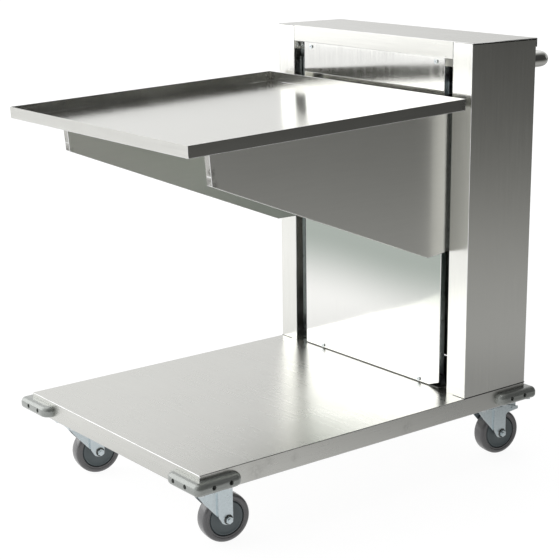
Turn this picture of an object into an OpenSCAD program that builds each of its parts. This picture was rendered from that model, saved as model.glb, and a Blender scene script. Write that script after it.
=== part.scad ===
// Cantilever tray dispenser trolley: a spring-lifted tray platform on two arms that run in a hollow mast,
// on a rolling deck with four swivel castors. Millimetres; X is the width, Y runs to the rear, Z is up.
// The origin lies on the floor, midway between the front bumpers and the push handle.

/* [Deck] */
// Width of the deck
base_w = 620; // [580:1:700]
// Depth of the deck
base_d = 849; // [820:1:940]
// Height of the deck's edges
fascia_h = 40; // [34:1:50]
// Sheet thickness of deck, casings and arms
sheet = 1.5; // [1:0.1:2]
// Width of the inward lips under the deck's edges
lip_w = 14; // [8:1:20]
// Height of the two cross rails that carry the castors
rail_h = 52.5; // [44:0.5:70]
// Width of the cross rails
rail_w = 80; // [74:1:84]
// Sheet thickness of rails, stiffeners and foot plate
rail_t = 2; // [1.5:0.5:3]
// Height of the lengthways stiffeners
stiffener_h = 30; // [20:1:40]
// Distance of each stiffener from the middle
stiffener_x = 150; // [100:5:190]
// Width of each stiffener
stiffener_w = 40; // [30:1:60]
// Width of the cross rails' top flanges
rail_flange = 14; // [10:1:18]

/* [Bumpers] */
// How far a bumper stands out of the deck's edge
bumper_out = 21; // [14:1:30]
// Height of a bumper
bumper_h = 24.5; // [22:0.5:34]
// Length of a bumper's leg, from the deck's corner to the start of its round end
bumper_leg = 67; // [60:1:90]
// Distance from the deck's top down to the bumper's top
bumper_drop = 9; // [2:1:10]
// Distance from the deck's corner to the first screw
bumper_screw_x = 18; // [13:1:22]
// Distance between the two screws of a leg
bumper_screw_pitch = 38.5; // [28:0.5:40]

/* [Castors] */
// Diameter of a castor wheel
wheel_d = 100; // [90:1:105]
// Width of a tyre
wheel_w = 32; // [28:1:36]
// Height of a whole castor
castor_h = 124; // [120:1:140]
// Side of the square top plate
plate_w = 84; // [80:1:90]
// Thickness of the top plate and the fork's sheet
plate_t = 3; // [2.5:0.5:4]
// Distance of the top plate's bolts from the kingpin, along both sides
plate_bolt_x = 31; // [30:0.5:33]
// Trail of the wheel axle behind the kingpin
castor_trail = 35; // [32:1:40]
// Swivel angle of the castors as they stand
castor_turn = -9; // [-30:1:30]
// Distance of a kingpin from the deck's side
castor_inset = 76; // [66:1:90]
// Distance of a front kingpin from the deck's front
castor_front = 65; // [60:1:90]
// Distance of a rear kingpin from the deck's rear
castor_rear = 45; // [42:0.5:60]
// Length of the brake pedal behind the kingpin
pedal_reach = 112; // [104:1:130]

/* [Mast] */
// Depth of the mast
mast_d = 179.5; // [176:0.5:200]
// Height of the mast's top above the platform's rear rim
mast_rise = 105; // [100:1:160]
// Distance of an arm slot's outer edge from the mast's side
slot_inset = 55.3; // [54:0.1:57]
// Width of an arm slot
slot_w = 29; // [27:0.5:32]
// Depth of the casings' returns beside the slots
slot_return = 20; // [12:1:22]
// Width of the casings' rear returns
rear_return = 85; // [78:1:95]
// Height of the header above the front panel
header_h = 34.5; // [28:0.5:40]
// How far the front panel lies behind the header
panel_recess = 6; // [4:0.5:8]
// Width of the clipped lower corner of the front panel
panel_clip_w = 34; // [20:1:45]
// Height of the clipped lower corner of the front panel
panel_clip_h = 11.5; // [8:0.5:14]
// Gap under the front panel
panel_foot_gap = 2; // [1:0.5:3]
// Shadow gap between the mast's sides and its cap
cap_gap = 2; // [1:0.5:3]
// Height of the cap's rear lip
cap_lip_h = 18; // [12:1:22]
// Height of the bar behind the front panel's top
crossbar_h = 18; // [16:1:22]

/* [Handle] */
// Diameter of the handle tube
handle_d = 30; // [25:1:34]
// Wall of the handle tube
handle_wall = 1.5; // [1:0.5:2.5]
// Distance of each handle leg from the mast's side
handle_inset = 32; // [30:1:40]
// Distance of the handle's grip behind the mast
handle_reach = 74; // [70:1:90]
// Bend radius of the handle tube
handle_bend = 40; // [32:1:44]
// Distance of the handle below the mast's top
handle_drop = 49; // [47:1:70]

/* [Platform] */
// Width of the tray platform
platform_w = 631; // [600:1:640]
// Depth of the tray platform
platform_d = 655; // [600:1:660]
// Height of the platform's rims
rim_h = 23; // [15:1:35]
// Height of the rear rim's top above the deck
platform_h = 626; // [615:1:640]
// Gap between the platform and the mast
platform_gap = 21; // [15:1:30]
// Angle by which the platform droops to the front
platform_droop = 2; // [0:0.1:3]
// How far the platform sinks under load
travel = 290; // [260:1:292]

/* [Arms] */
// Thickness of an arm
arm_t = 16; // [14:0.5:18]
// How far an arm's outer face stands outside its slot's outer edge
arm_proud = 2.3; // [1:0.1:5]
// Height of an arm at its front end
arm_front_h = 70; // [50:1:90]
// Height of an arm's lower rear corner above the deck
arm_foot = 302; // [300:1:320]
// Distance from the platform's front to the arms' front ends
arm_setback = 82; // [60:1:120]
// Length of the inward step where an arm narrows towards its slot
arm_step_l = 60; // [40:1:70]

/* [Lift] */
// Thickness of the carriage plates
carriage_t = 4; // [3:0.5:5]
// How far the carriage plates reach above the platform's underside
carriage_head = 57; // [50:1:58]
// Depth of the carriage plates
carriage_d = 104; // [100:1:110]
// Radius of a guide roller
roller_r = 20; // [18:0.5:22]
// Width of a guide roller
roller_w = 20; // [16:1:22]
// Wall of the guide rails
guide_t = 3; // [2:0.5:4]
// Running gap between a roller and its rail
roller_gap = 0.3; // [0.2:0.05:0.5]
// Radius of a lift spring
spring_r = 9; // [7:0.5:11]
// Distances of a side's two springs from the middle
spring_x = [60, 150];

/* [Fits] */
// Radial clearance between a turning shaft and its bore
running_gap = 0.06; // [0.02:0.01:0.1]
// Radial clearance of a bolt in its hole
bolt_gap = 0.3; // [0.2:0.05:0.5]
// Gap kept between moving faces
move_gap = 0.5; // [0.3:0.1:0.8]

/* [Hidden] */
$fn = 64;
eps = 0.01;

// Colours
steel = "gainsboro";
bright = "whitesmoke";
zinc = "lightsteelblue";
plastic = "dimgray";
hub_grey = "slategray";
tyre_grey = "gray";
dark = "darkslategray";

// Sides and ends, as signs
left = -1;
right = 1;
front = -1;
rear = 1;

// Deck, from the floor up
deck_top = castor_h + rail_h + sheet;
deck_under = deck_top - sheet;
fascia_foot = deck_top - fascia_h;
half_w = base_w / 2;
half_d = base_d / 2;

// Place of the origin: midway between the foremost and the rearmost faces
front_reach = half_d + bumper_out;
rear_reach = half_d + handle_reach + handle_d / 2;
y_middle = (rear_reach - front_reach) / 2;

// Bumpers
bumper_top = deck_top - bumper_drop;
bumper_mid = bumper_top - bumper_h / 2;
bumper_round_top = 12;
bumper_round_foot = 8;
bumper_corner = bumper_out - bumper_round_top;
screw_well_r = 4.5;
bumper_wall = 6;
screw_head_r = 3;
screw_head_h = 2.2;
screw_r = 2;
screw_tail = 0.6;
hex_socket_r = 1.6;
hex_socket_h = 1;

// Castors
wheel_r = wheel_d / 2;
tyre_band = 13.5;
tyre_inner_r = wheel_r - tyre_band;
tyre_shoulder = 6;
crown_gap = 10;
crown_top = wheel_d + crown_gap + plate_t;
crown_r = 28;
race_r = 25;
race_step = 5;
swivel_gap = 0.3;
race_h = (castor_h - plate_t - crown_top - swivel_gap) / 2;
kingpin_r = 6;
kingpin_head_r = 10;
kingpin_head_h = 3;
cheek_t = 3;
cheek_in = wheel_w / 2 + 3;
cheek_out = cheek_in + cheek_t;
flank_in = wheel_w / 2 + 1.2;
flank_t = 2.5;
flank_out = flank_in + flank_t;
flank_lap = 4;
cheek_foot_r = 10.5;
cheek_foot = [castor_trail - 8.5, wheel_r - 6.1];
flank_waist = [castor_trail - 47, wheel_r + 38];
flank_front = castor_trail - 65;
cheek_front = castor_trail - 20.2;
axle_r = 6;
axle_bolt_r = 4;
axle_head_r = 7.5;
axle_head_h = 5.5;
axle_nut_h = 6.5;
hub_face = 0.9;
hub_groove = 2.5;
hub_boss_t = 5;
hub_gap = 0.05;
sleeve_gap = 0.1;
plate_bolt_r = 4;
plate_bolt_head_h = 5.3;
plate_nut_h = 6.5;
plate_nut_r = 7.5;
bolt_tail = 2;
wing_reach = castor_trail + 43;
wing_foot = crown_top - 18;
wing_tip = [crown_top - 13.5, crown_top - 7];
wing_step = 5;
castor_x = half_w - castor_inset;
castor_y = [-half_d + castor_front, half_d - castor_rear];

// Brake pedal, in the castor's own frame
pedal_t = 2.5;
pedal_pivot_y = castor_trail + 27;
pedal_pivot_z = crown_top - 10;
pedal_pin_r = 3;
pin_end = 1.5;
pedal_plate_z = crown_top + 2;
pedal_in = cheek_in - move_gap;
pedal_back_y = pedal_pivot_y - 8;
pedal_bend_y = pedal_pivot_y + 20;
pedal_crest_y = pedal_bend_y + 12;
pedal_crest = 2;
pedal_lug_l = 17;
pedal_half_w = 20;
shoe_r = 5.5;
shoe_nose_r = 4;
shoe_nose = 4.9;
shoe_nose_turn = 10;

// Mast
mast_front = half_d - mast_d;
mast_top = deck_top + platform_h + mast_rise;
casing_top = mast_top - sheet;
side_top = casing_top - cap_gap;
side_in = half_w - sheet;
slot_out = half_w - slot_inset;
slot_in = slot_out - slot_w;
seam = 0.5;
panel_front = mast_front + panel_recess;
panel_top = mast_top - header_h - seam;
panel_foot = deck_top + panel_foot_gap;
panel_back = panel_front + sheet;
crossbar_t = 3;
crossbar_y = mast_front + slot_return;
crossbar_boss_r = 6;
crossbar_bolt_r = 3;
crossbar_nut_r = 5.5;
crossbar_head_h = 4;
crossbar_nut_h = 5;
crossbar_tab = 18;
crossbar_foot = panel_top - crossbar_h;
crossbar_bolt_x = slot_out - crossbar_tab / 2;
header_return = 10;
cover_lap = 15;
cover_half_w = half_w - rear_return + cover_lap;
cover_screw_x = cover_half_w - cover_lap / 2;
cover_top = mast_top - 1.5 * sheet - cap_gap;
cover_foot = deck_top + 3;
cover_screw_margin = 25;
cover_screw_pitch = (cover_top - cover_foot - cap_lip_h - 2 * cover_screw_margin) / 3;
cover_screw_z = [for (i = [0:3]) cover_foot + cover_screw_margin + i * cover_screw_pitch];
panel_screw_inset = 24.7;
panel_screw_x = slot_in - panel_screw_inset;
panel_foot_screw_inset = 62.7;
panel_foot_screw_rise = 5;
panel_foot_screw_x = slot_in - panel_foot_screw_inset;
panel_foot_screw_z = panel_foot + panel_foot_screw_rise;
panel_screws = [
    [panel_screw_x, crossbar_foot + crossbar_h / 2, crossbar_y + crossbar_t - panel_front],
    [panel_foot_screw_x, panel_foot_screw_z, sheet + rail_t]
];
cover_screw_r = 2.5;
cover_head_r = 4.5;
cover_head_h = 2.4;

// Handle
handle_x = half_w - handle_inset;
handle_r = handle_d / 2;
handle_z = mast_top - handle_drop;
handle_y = half_d + handle_reach;
socket_r = handle_r + 12;
socket_t = 6;
socket_gap = 0.1;
socket_head_r = 3.8;
socket_screw_x = handle_r + 6.5;
socket_screw_angles = [90, 210, 330];

// Lift: guide rails, carriage and rollers
foot_top = deck_top + rail_t;
foot_upstand = 12;
foot_bolt_side = 25.7;
foot_bolt_x = slot_in - foot_bolt_side;
foot_bolt_inset = 40;
foot_bolt_y = [mast_front + foot_bolt_inset, half_d - foot_bolt_inset];
foot_bolt_places = [for (x = [-foot_bolt_x, 0, foot_bolt_x], y = foot_bolt_y) [x, y]];
guide_in = roller_r + roller_gap;
guide_depth = 30;
roller_disc_t = 2.5;
roller_groove_r = 13;
roller_groove_w = 7;
roller_groove_h = 1.5;
roller_side_gap = 1.5;
roller_x = side_in - guide_t - roller_side_gap - roller_disc_t - move_gap - roller_w / 2;
arm_out = slot_out + arm_proud;
arm_in = arm_out - arm_t;
tongue_out = slot_out - (slot_w - arm_t) / 2;
tongue_in = tongue_out - arm_t;
carriage_x = tongue_out;
carriage_gap = 3;
carriage_front = mast_front + slot_return + carriage_gap;
carriage_rear = carriage_front + carriage_d;
guide_inset = 12;
guide_y = carriage_rear - roller_r - guide_inset;
carriage_rise = 4;
carriage_foot = deck_top + arm_foot + carriage_rise;
carriage_top = deck_top + platform_h - rim_h + carriage_head;
roller_margin = 4;
roller_z = [carriage_foot + roller_r + roller_margin, carriage_top - roller_r];
roller_axle_r = 5;
roller_axle_head = 8;
tongue_l = 62;
tongue_rear = carriage_front + tongue_l;
buffer_r = 12;
buffer_h = 18;
hanger_z = carriage_top + roller_gap + buffer_h;
hanger_y = guide_y - roller_r;
hanger_d = 56;
hanger_t = 3;
hanger_wall_h = 24;
beam_w = 25;
upper_beam_inset = 17;
upper_beam_y = carriage_front + upper_beam_inset;
upper_beam_drop = 40;
upper_beam_z = carriage_top - upper_beam_drop;
lower_beam_inset = 2;
lower_beam_y = carriage_rear - beam_w - lower_beam_inset;
lower_beam_rise = 4;
lower_beam_z = carriage_foot + lower_beam_rise;
beam_t = 2.5;
spring_y = lower_beam_y + beam_w / 2;
spring_wire = 2.2;
spring_button_r = 5;
spring_button_h = 3;
spring_hole_r = 3;
spring_end_gap = 26;
arm_bolt_r = 4;
arm_bolt_inset = 18;
arm_bolt_row = 28;
arm_bolt_y = [carriage_front + arm_bolt_inset, carriage_front + arm_bolt_inset + arm_bolt_row];
arm_bolt_foot = 30;
arm_bolt_head = 50;
arm_bolt_pitch = (platform_h - rim_h - arm_foot - arm_bolt_foot - arm_bolt_head) / 2;
arm_bolt_z = [for (i = [0:2]) carriage_foot + arm_bolt_foot + i * arm_bolt_pitch];

// Platform and arms
platform_rear = mast_front - platform_gap;
platform_front = platform_rear - platform_d * cos(platform_droop);
rim_top = deck_top + platform_h;
platform_under = rim_top - rim_h;
arm_front = platform_front + arm_setback;
arm_bend = mast_front - arm_step_l;
arm_foot_z = deck_top + arm_foot;
arm_clip_d = 8;
arm_clip_h = 17;

// Height of the platform's underside at a place y along the trolley
function under_z(y) = platform_under - (platform_rear - y) * tan(platform_droop);

// Shifts what is drawn from the deck's middle to the origin
module in_frame() {
    translate([0, -y_middle, 0]) children();
}

// A block from its lowest to its highest corner
module block(a, b) {
    translate(a) cube(b - a);
}

// A round bar along X, Y or Z from a point
module bar_x(p, r, l) {
    translate(p) rotate([0, 90, 0]) cylinder(r = r, h = l);
}

module bar_y(p, r, l) {
    translate(p) rotate([-90, 0, 0]) cylinder(r = r, h = l);
}

module bar_z(p, r, l) {
    translate(p) cylinder(r = r, h = l);
}

// A tall plate shape drawn in Y and Z and made thick along X, from x0 to x1
module side_plate(x0, x1) {
    translate([x0, 0, 0]) rotate([90, 0, 90]) linear_extrude(x1 - x0) children();
}

// Hexagonal head or nut along Z
module hexagon(r, h) {
    cylinder(r = r, h = h, $fn = 6);
}

// Deck: folded pan with edges and lips
module deck_pan() color(steel) in_frame() {
    difference() {
        block([-half_w, -half_d, fascia_foot], [half_w, half_d, deck_top]);
        block([-half_w + sheet, -half_d + sheet, fascia_foot + sheet],
            [half_w - sheet, half_d - sheet, deck_under]);
        block([-half_w + lip_w, -half_d + lip_w, fascia_foot - 1],
            [half_w - lip_w, half_d - sheet, deck_under - 1]);
        for (p = bumper_screw_places())
            place_bumper_screw(p) bar_z([0, 0, -sheet - 1], screw_r + bolt_gap, sheet + 2);
        for (p = foot_bolt_places) bar_z([p[0], p[1], deck_under - 1], plate_bolt_r + bolt_gap, sheet + 2);
    }
}

// Cross rail: channel open to the top, with flanges against the deck
module crossrail(y) {
    half_l = castor_x + plate_w / 2;
    half_y = rail_w / 2;
    difference() {
        block([-half_l, y - half_y, castor_h], [half_l, y + half_y, deck_under]);
        block([-half_l - 1, y - half_y + rail_t, castor_h + rail_t],
            [half_l + 1, y + half_y - rail_t, deck_under - rail_t]);
        block([-half_l - 1, y - half_y + rail_flange, castor_h + rail_t],
            [half_l + 1, y + half_y - rail_flange, deck_under + 1]);
        for (sx = [left, right], bx = [-1, 1], by = [-1, 1])
            translate([sx * castor_x + bx * plate_bolt_x, y + by * plate_bolt_x, castor_h - 1])
                cylinder(r = plate_bolt_r + bolt_gap, h = rail_t + 2);
    }
}

module front_crossrail() color(steel) in_frame() crossrail(castor_y[0]);

module rear_crossrail() color(steel) in_frame() crossrail(castor_y[1]);

// Two lengthways channels between the cross rails
module deck_stiffeners() color(steel) in_frame() {
    y0 = castor_y[0] + rail_w / 2;
    y1 = castor_y[1] - rail_w / 2;
    half_s = stiffener_w / 2;
    for (sx = [left, right])
        difference() {
            block([sx * stiffener_x - half_s, y0, deck_under - stiffener_h],
                [sx * stiffener_x + half_s, y1, deck_under]);
            block([sx * stiffener_x - half_s + rail_t, y0 - 1, deck_under - stiffener_h + rail_t],
                [sx * stiffener_x + half_s - rail_t, y1 + 1, deck_under + 1]);
        }
}

// The four castor places: side and end
module at_castor(side, end) {
    y = end == front ? castor_y[0] : castor_y[1];
    in_frame() translate([side * castor_x, y, 0]) rotate([0, 0, castor_turn]) children();
}

// Castor top plates with their upper races and riveted kingpins; the plates stand square to the deck
module castor_plates() color(zinc) in_frame() {
    plate_foot = castor_h - plate_t;
    for (sx = [left, right], y = castor_y) translate([sx * castor_x, y, 0]) {
        difference() {
            block([-plate_w / 2, -plate_w / 2, plate_foot], [plate_w / 2, plate_w / 2, castor_h]);
            for (bx = [-1, 1], by = [-1, 1])
                bar_z([bx * plate_bolt_x, by * plate_bolt_x, plate_foot - 1],
                    plate_bolt_r + bolt_gap, plate_t + 2);
        }
        bar_z([0, 0, plate_foot - race_h], race_r - race_step, race_h + eps);
        bar_z([0, 0, crown_top - plate_t - swivel_gap - eps], kingpin_r, castor_h - crown_top);
        bar_z([0, 0, crown_top - plate_t - swivel_gap - kingpin_head_h], kingpin_head_r, kingpin_head_h);
    }
}

// Bolts and nuts that hold the castor plates to the cross rails
module castor_bolts() color(zinc) in_frame() {
    plate_foot = castor_h - plate_t;
    for (sx = [left, right], y = castor_y, bx = [-1, 1], by = [-1, 1])
        translate([sx * castor_x + bx * plate_bolt_x, y + by * plate_bolt_x, 0]) {
            translate([0, 0, plate_foot - plate_bolt_head_h]) hexagon(plate_nut_r, plate_bolt_head_h);
            bar_z([0, 0, plate_foot - eps], plate_bolt_r, plate_t + rail_t + plate_nut_h + bolt_tail);
            translate([0, 0, castor_h + rail_t]) hexagon(plate_nut_r, plate_nut_h);
        }
}

// Bumper section: out of the deck's edge along x, up along y, with round outer corners
module bumper_section() intersection() {
    translate([0, -bumper_h / 2]) square([bumper_out, bumper_h]);
    union() {
        translate([0, -bumper_h / 2]) square([bumper_out - bumper_round_top, bumper_h]);
        translate([0, -bumper_h / 2 + bumper_round_foot])
            square([bumper_out, bumper_h - bumper_round_foot - bumper_round_top]);
        translate([0, -bumper_h / 2]) square([bumper_out - bumper_round_foot, bumper_h / 2]);
        translate([bumper_out - bumper_round_top, bumper_h / 2 - bumper_round_top]) circle(bumper_round_top);
        translate([bumper_out - bumper_round_foot, bumper_round_foot - bumper_h / 2]) circle(bumper_round_foot);
    }
}

// Screws of all bumpers: side, end, leg (0 along the width, 1 along the depth), distance from the corner
function bumper_screw_places() = [
    for (sx = [left, right], sy = [front, rear], leg = [0, 1], i = [0, 1])
        [sx, sy, leg, bumper_screw_x + i * bumper_screw_pitch]
];

// Puts a screw's axis on the deck's edge, with its head outwards
module place_bumper_screw(p) {
    at = p[2] == 0 ? [p[0] * (half_w - p[3]), p[1] * half_d, bumper_mid]
        : [p[0] * half_w, p[1] * (half_d - p[3]), bumper_mid];
    translate(at) rotate(p[2] == 0 ? [-90 * p[1], 0, 0] : [0, 90 * p[0], 0]) children();
}

// Corner bumper: two legs, a tightly rounded corner and round ends, with two screw wells a leg
module bumper(side, end) color(plastic) in_frame() {
    difference() {
        translate([side * half_w, end * half_d, bumper_mid]) scale([side, end, 1]) {
            translate([bumper_corner, bumper_corner, 0]) rotate_extrude(angle = 90) intersection() {
                translate([-bumper_corner, 0]) bumper_section();
                translate([0, -bumper_h]) square([bumper_out, 2 * bumper_h]);
            }
            translate([0, bumper_corner, 0]) rotate([90, 0, 0])
                linear_extrude(bumper_leg + bumper_corner) bumper_section();
            translate([0, -bumper_leg, 0]) rotate([0, 0, -90]) rotate_extrude(angle = 90) bumper_section();
            translate([bumper_corner, 0, 0]) rotate([0, 0, 90]) mirror([0, 1, 0]) rotate([90, 0, 0])
                linear_extrude(bumper_leg + bumper_corner) bumper_section();
            translate([-bumper_leg, 0, 0]) rotate([0, 0, 90]) rotate_extrude(angle = 90) bumper_section();
        }
        for (p = bumper_screw_places()) if (p[0] == side && p[1] == end) place_bumper_screw(p) {
            bar_z([0, 0, -1], screw_r + bolt_gap, bumper_out);
            bar_z([0, 0, bumper_wall], screw_well_r, bumper_out);
        }
    }
}

// Screws that hold the bumpers
module bumper_screws() color(dark) in_frame() {
    for (p = bumper_screw_places()) place_bumper_screw(p) difference() {
        union() {
            bar_z([0, 0, -sheet - screw_tail], screw_r, bumper_wall + sheet + screw_tail + eps);
            bar_z([0, 0, bumper_wall], screw_head_r, screw_head_h);
        }
        translate([0, 0, bumper_wall + screw_head_h - hex_socket_h])
            cylinder(r = hex_socket_r, h = hex_socket_h + 1, $fn = 6);
    }
}

// Mast side casing: side wall, front strip with its slot return, rear strip and the crossbar's tab
module mast_side(side) color(steel) in_frame() scale([side, 1, 1]) {
    difference() {
        union() {
            block([side_in, mast_front, deck_top], [half_w, half_d, side_top]);
            block([slot_out, mast_front, deck_top], [half_w, mast_front + sheet, casing_top]);
            block([slot_out, mast_front, deck_top], [slot_out + sheet, mast_front + slot_return, casing_top]);
            block([half_w - rear_return, half_d - sheet, deck_top], [half_w, half_d, side_top]);
            block([slot_out - crossbar_tab, crossbar_y + crossbar_t, crossbar_foot],
                [slot_out + sheet, crossbar_y + 2 * crossbar_t, crossbar_foot + crossbar_h]);
            block([slot_out, crossbar_y - eps, crossbar_foot],
                [slot_out + sheet, crossbar_y + 2 * crossbar_t, crossbar_foot + crossbar_h]);
        }
        bar_y([crossbar_bolt_x, crossbar_y, crossbar_foot + crossbar_h / 2],
            crossbar_bolt_r + bolt_gap, 3 * crossbar_t);
        for (z = cover_screw_z)
            bar_y([cover_screw_x, half_d - sheet - 1, z], cover_screw_r + bolt_gap, sheet + 2);
        for (a = socket_screw_angles)
            bar_y([handle_x + socket_screw_x * cos(a), half_d - sheet - 1, handle_z + socket_screw_x * sin(a)],
                screw_r + bolt_gap, sheet + 2);
    }
}

// Mast cap: top sheet, header between the casings and rear lip
module mast_cap() color(steel) in_frame() {
    block([-half_w, mast_front, casing_top], [half_w, half_d + 2 * sheet, mast_top]);
    block([-slot_out + seam, mast_front, mast_top - header_h],
        [slot_out - seam, mast_front + sheet, casing_top + eps]);
    block([-slot_in, mast_front, mast_top - header_h],
        [slot_in, mast_front + header_return, mast_top - header_h + sheet]);
    block([-half_w, half_d + sheet, mast_top - cap_lip_h], [half_w, half_d + 2 * sheet, casing_top + eps]);
}

// Front panel between the slots, with side returns and one clipped lower corner
module front_panel() color(bright) in_frame() {
    difference() {
        union() {
            block([-slot_in, panel_front, panel_foot], [slot_in, panel_front + sheet, panel_top]);
            for (sx = [left, right]) scale([sx, 1, 1])
                block([slot_in - sheet, panel_front, panel_foot + panel_clip_h],
                    [slot_in, crossbar_y, panel_top]);
        }
        corner = [[slot_in - panel_clip_w, panel_foot - 1], [slot_in + 1, panel_foot - 1],
            [slot_in + 1, panel_foot + panel_clip_h], [slot_in, panel_foot + panel_clip_h]];
        translate([0, panel_back + 1, 0]) rotate([90, 0, 0]) linear_extrude(sheet + 2) polygon(corner);
        for (sx = [left, right], p = panel_screws)
            bar_y([sx * p[0], panel_front - 1, p[1]], cover_screw_r + bolt_gap, sheet + 2);
    }
}

// Flat bar behind the panel's top, bolted to the casings across the slots, with a boss for each panel screw
module front_crossbar() color(bright) in_frame() difference() {
    union() {
        block([-slot_out + seam, crossbar_y, crossbar_foot],
            [slot_out - seam, crossbar_y + crossbar_t, crossbar_foot + crossbar_h]);
        for (sx = [left, right])
            bar_y([sx * panel_screw_x, panel_back, crossbar_foot + crossbar_h / 2],
                crossbar_boss_r, crossbar_y - panel_back + 1);
    }
    for (sx = [left, right]) {
        bar_y([sx * crossbar_bolt_x, crossbar_y - 1, crossbar_foot + crossbar_h / 2],
            crossbar_bolt_r + bolt_gap, crossbar_t + 2);
        bar_y([sx * panel_screw_x, panel_back - 1, crossbar_foot + crossbar_h / 2],
            cover_screw_r + bolt_gap, crossbar_y + crossbar_t - panel_back + 2);
    }
}

// Rear cover over the opening between the casings
module rear_cover() color(steel) in_frame() difference() {
    block([-cover_half_w, half_d, cover_foot], [cover_half_w, half_d + sheet, cover_top]);
    for (sx = [left, right], z = cover_screw_z)
        bar_y([sx * cover_screw_x, half_d - 1, z], cover_screw_r + bolt_gap, sheet + 2);
}

// Domed screw of the covers, its head towards -Y
module cover_screw(grip) {
    difference() {
        bar_y([0, -cover_head_h, 0], cover_head_r, cover_head_h);
        bar_y([0, -cover_head_h - 1, 0], hex_socket_r, hex_socket_h + 1, $fn = 6);
    }
    bar_y([0, -eps, 0], cover_screw_r, grip + screw_tail);
}

// Screws of the front panel and the rear cover
module cover_screws() color(zinc) in_frame() {
    for (sx = [left, right], p = panel_screws)
        translate([sx * p[0], panel_front, p[1]]) cover_screw(p[2]);
    for (sx = [left, right], z = cover_screw_z)
        translate([sx * cover_screw_x, half_d + sheet, z]) rotate([0, 0, 180]) cover_screw(2 * sheet);
}

// Guide rail: channel open towards the middle, on the casing's inner wall
module guide_rail(side) color(zinc) in_frame() scale([side, 1, 1]) {
    half_y = guide_in + guide_t;
    difference() {
        block([side_in - guide_t - guide_depth, guide_y - half_y, foot_top],
            [side_in, guide_y + half_y, hanger_z]);
        block([side_in - guide_t - guide_depth - 1, guide_y - guide_in, foot_top - 1],
            [side_in - guide_t, guide_y + guide_in, hanger_z + 1]);
    }
}

// Channel across the top of the guide rails that the springs hang from
module spring_hanger() color(zinc) in_frame() difference() {
    block([-side_in, hanger_y, hanger_z], [side_in, hanger_y + hanger_d, hanger_z + hanger_wall_h]);
    block([-side_in - 1, hanger_y + hanger_t, hanger_z + hanger_t],
        [side_in + 1, hanger_y + hanger_d - hanger_t, hanger_z + hanger_wall_h + 1]);
    for (sx = [left, right], x = spring_x)
        bar_z([sx * x, spring_y, hanger_z - 1], spring_hole_r, hanger_t + 2);
}

// Foot plate of the mast on the deck, with an upstand behind the front panel
module mast_foot() color(zinc) in_frame() {
    difference() {
        union() {
            block([-side_in, carriage_front - 1, deck_top], [side_in, half_d - sheet, foot_top]);
            block([-slot_in + sheet + 1, panel_back, deck_top],
                [slot_in - sheet - 1, carriage_front, foot_top]);
            block([-slot_in + panel_clip_w + 2, panel_back, deck_top],
                [slot_in - panel_clip_w - 2, panel_back + rail_t, foot_top + foot_upstand]);
        }
        for (p = foot_bolt_places) bar_z([p[0], p[1], deck_top - 1], plate_bolt_r + bolt_gap, rail_t + 2);
        for (sx = [left, right])
            bar_y([sx * panel_foot_screw_x, panel_back - 1, panel_foot_screw_z],
                cover_screw_r + bolt_gap, rail_t + 2);
    }
}

// Hexagon bolts of the foot plate and the crossbar
module frame_bolts() color(zinc) in_frame() {
    for (p = foot_bolt_places) translate([p[0], p[1], 0]) {
        translate([0, 0, foot_top]) hexagon(plate_nut_r, plate_bolt_head_h);
        bar_z([0, 0, deck_under - plate_nut_h - bolt_tail],
            plate_bolt_r, rail_t + sheet + plate_nut_h + bolt_tail + eps);
        translate([0, 0, deck_under - plate_nut_h]) hexagon(plate_nut_r, plate_nut_h);
    }
    for (sx = [left, right]) translate([sx * crossbar_bolt_x, crossbar_y, crossbar_foot + crossbar_h / 2]) {
        rotate([90, 0, 0]) hexagon(crossbar_nut_r, crossbar_head_h);
        bar_y([0, -eps, 0], crossbar_bolt_r, 2 * crossbar_t + crossbar_nut_h + bolt_tail);
        translate([0, 2 * crossbar_t, 0]) rotate([-90, 0, 0]) hexagon(crossbar_nut_r, crossbar_nut_h);
    }
}

// Centre line of the push handle as a bent bar of a given radius
module handle_bar(r, over) {
    leg = handle_reach - handle_bend;
    for (sx = [left, right]) scale([sx, 1, 1]) {
        bar_y([handle_x, half_d - over, handle_z], r, leg + over);
        translate([handle_x - handle_bend, handle_y - handle_bend, handle_z])
            rotate_extrude(angle = 90) translate([handle_bend, 0]) circle(r);
    }
    bar_x([-handle_x + handle_bend, handle_y, handle_z], r, 2 * (handle_x - handle_bend));
}

// Push handle: bent tube across the back of the mast
module push_handle() color(bright) in_frame() difference() {
    handle_bar(handle_r, 0);
    handle_bar(handle_r - handle_wall, 1);
}

// Collars that hold the handle's ends on the casings
module handle_sockets() color(plastic) in_frame() for (sx = [left, right]) scale([sx, 1, 1]) difference() {
    bar_y([handle_x, half_d, handle_z], socket_r, socket_t);
    bar_y([handle_x, half_d - 1, handle_z], handle_r + socket_gap, socket_t + 2);
    for (a = socket_screw_angles)
        bar_y([handle_x + socket_screw_x * cos(a), half_d - 1, handle_z + socket_screw_x * sin(a)],
            screw_r + bolt_gap, socket_t + 2);
}

// Screws of the handle sockets
module handle_screws() color(zinc) in_frame() for (sx = [left, right], a = socket_screw_angles)
    translate([sx * (handle_x + socket_screw_x * cos(a)), half_d, handle_z + socket_screw_x * sin(a)])
    difference() {
        union() {
            bar_y([0, -sheet - screw_tail, 0], screw_r, socket_t + sheet + screw_tail + eps);
            bar_y([0, socket_t, 0], socket_head_r, screw_head_h);
        }
        bar_y([0, socket_t + screw_head_h - hex_socket_h, 0], hex_socket_r, hex_socket_h + 1, $fn = 6);
    }

// Rubber stops above and below the carriage
module rubber_buffers() color(dark) in_frame() for (sx = [left, right]) {
    x = sx * (carriage_x + carriage_t / 2);
    bar_z([x, hanger_y + hanger_d / 2, carriage_top + roller_gap], buffer_r, buffer_h);
    bar_z([x, hanger_y + hanger_d / 2, foot_top], buffer_r, carriage_foot - travel - move_gap - foot_top);
}

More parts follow.
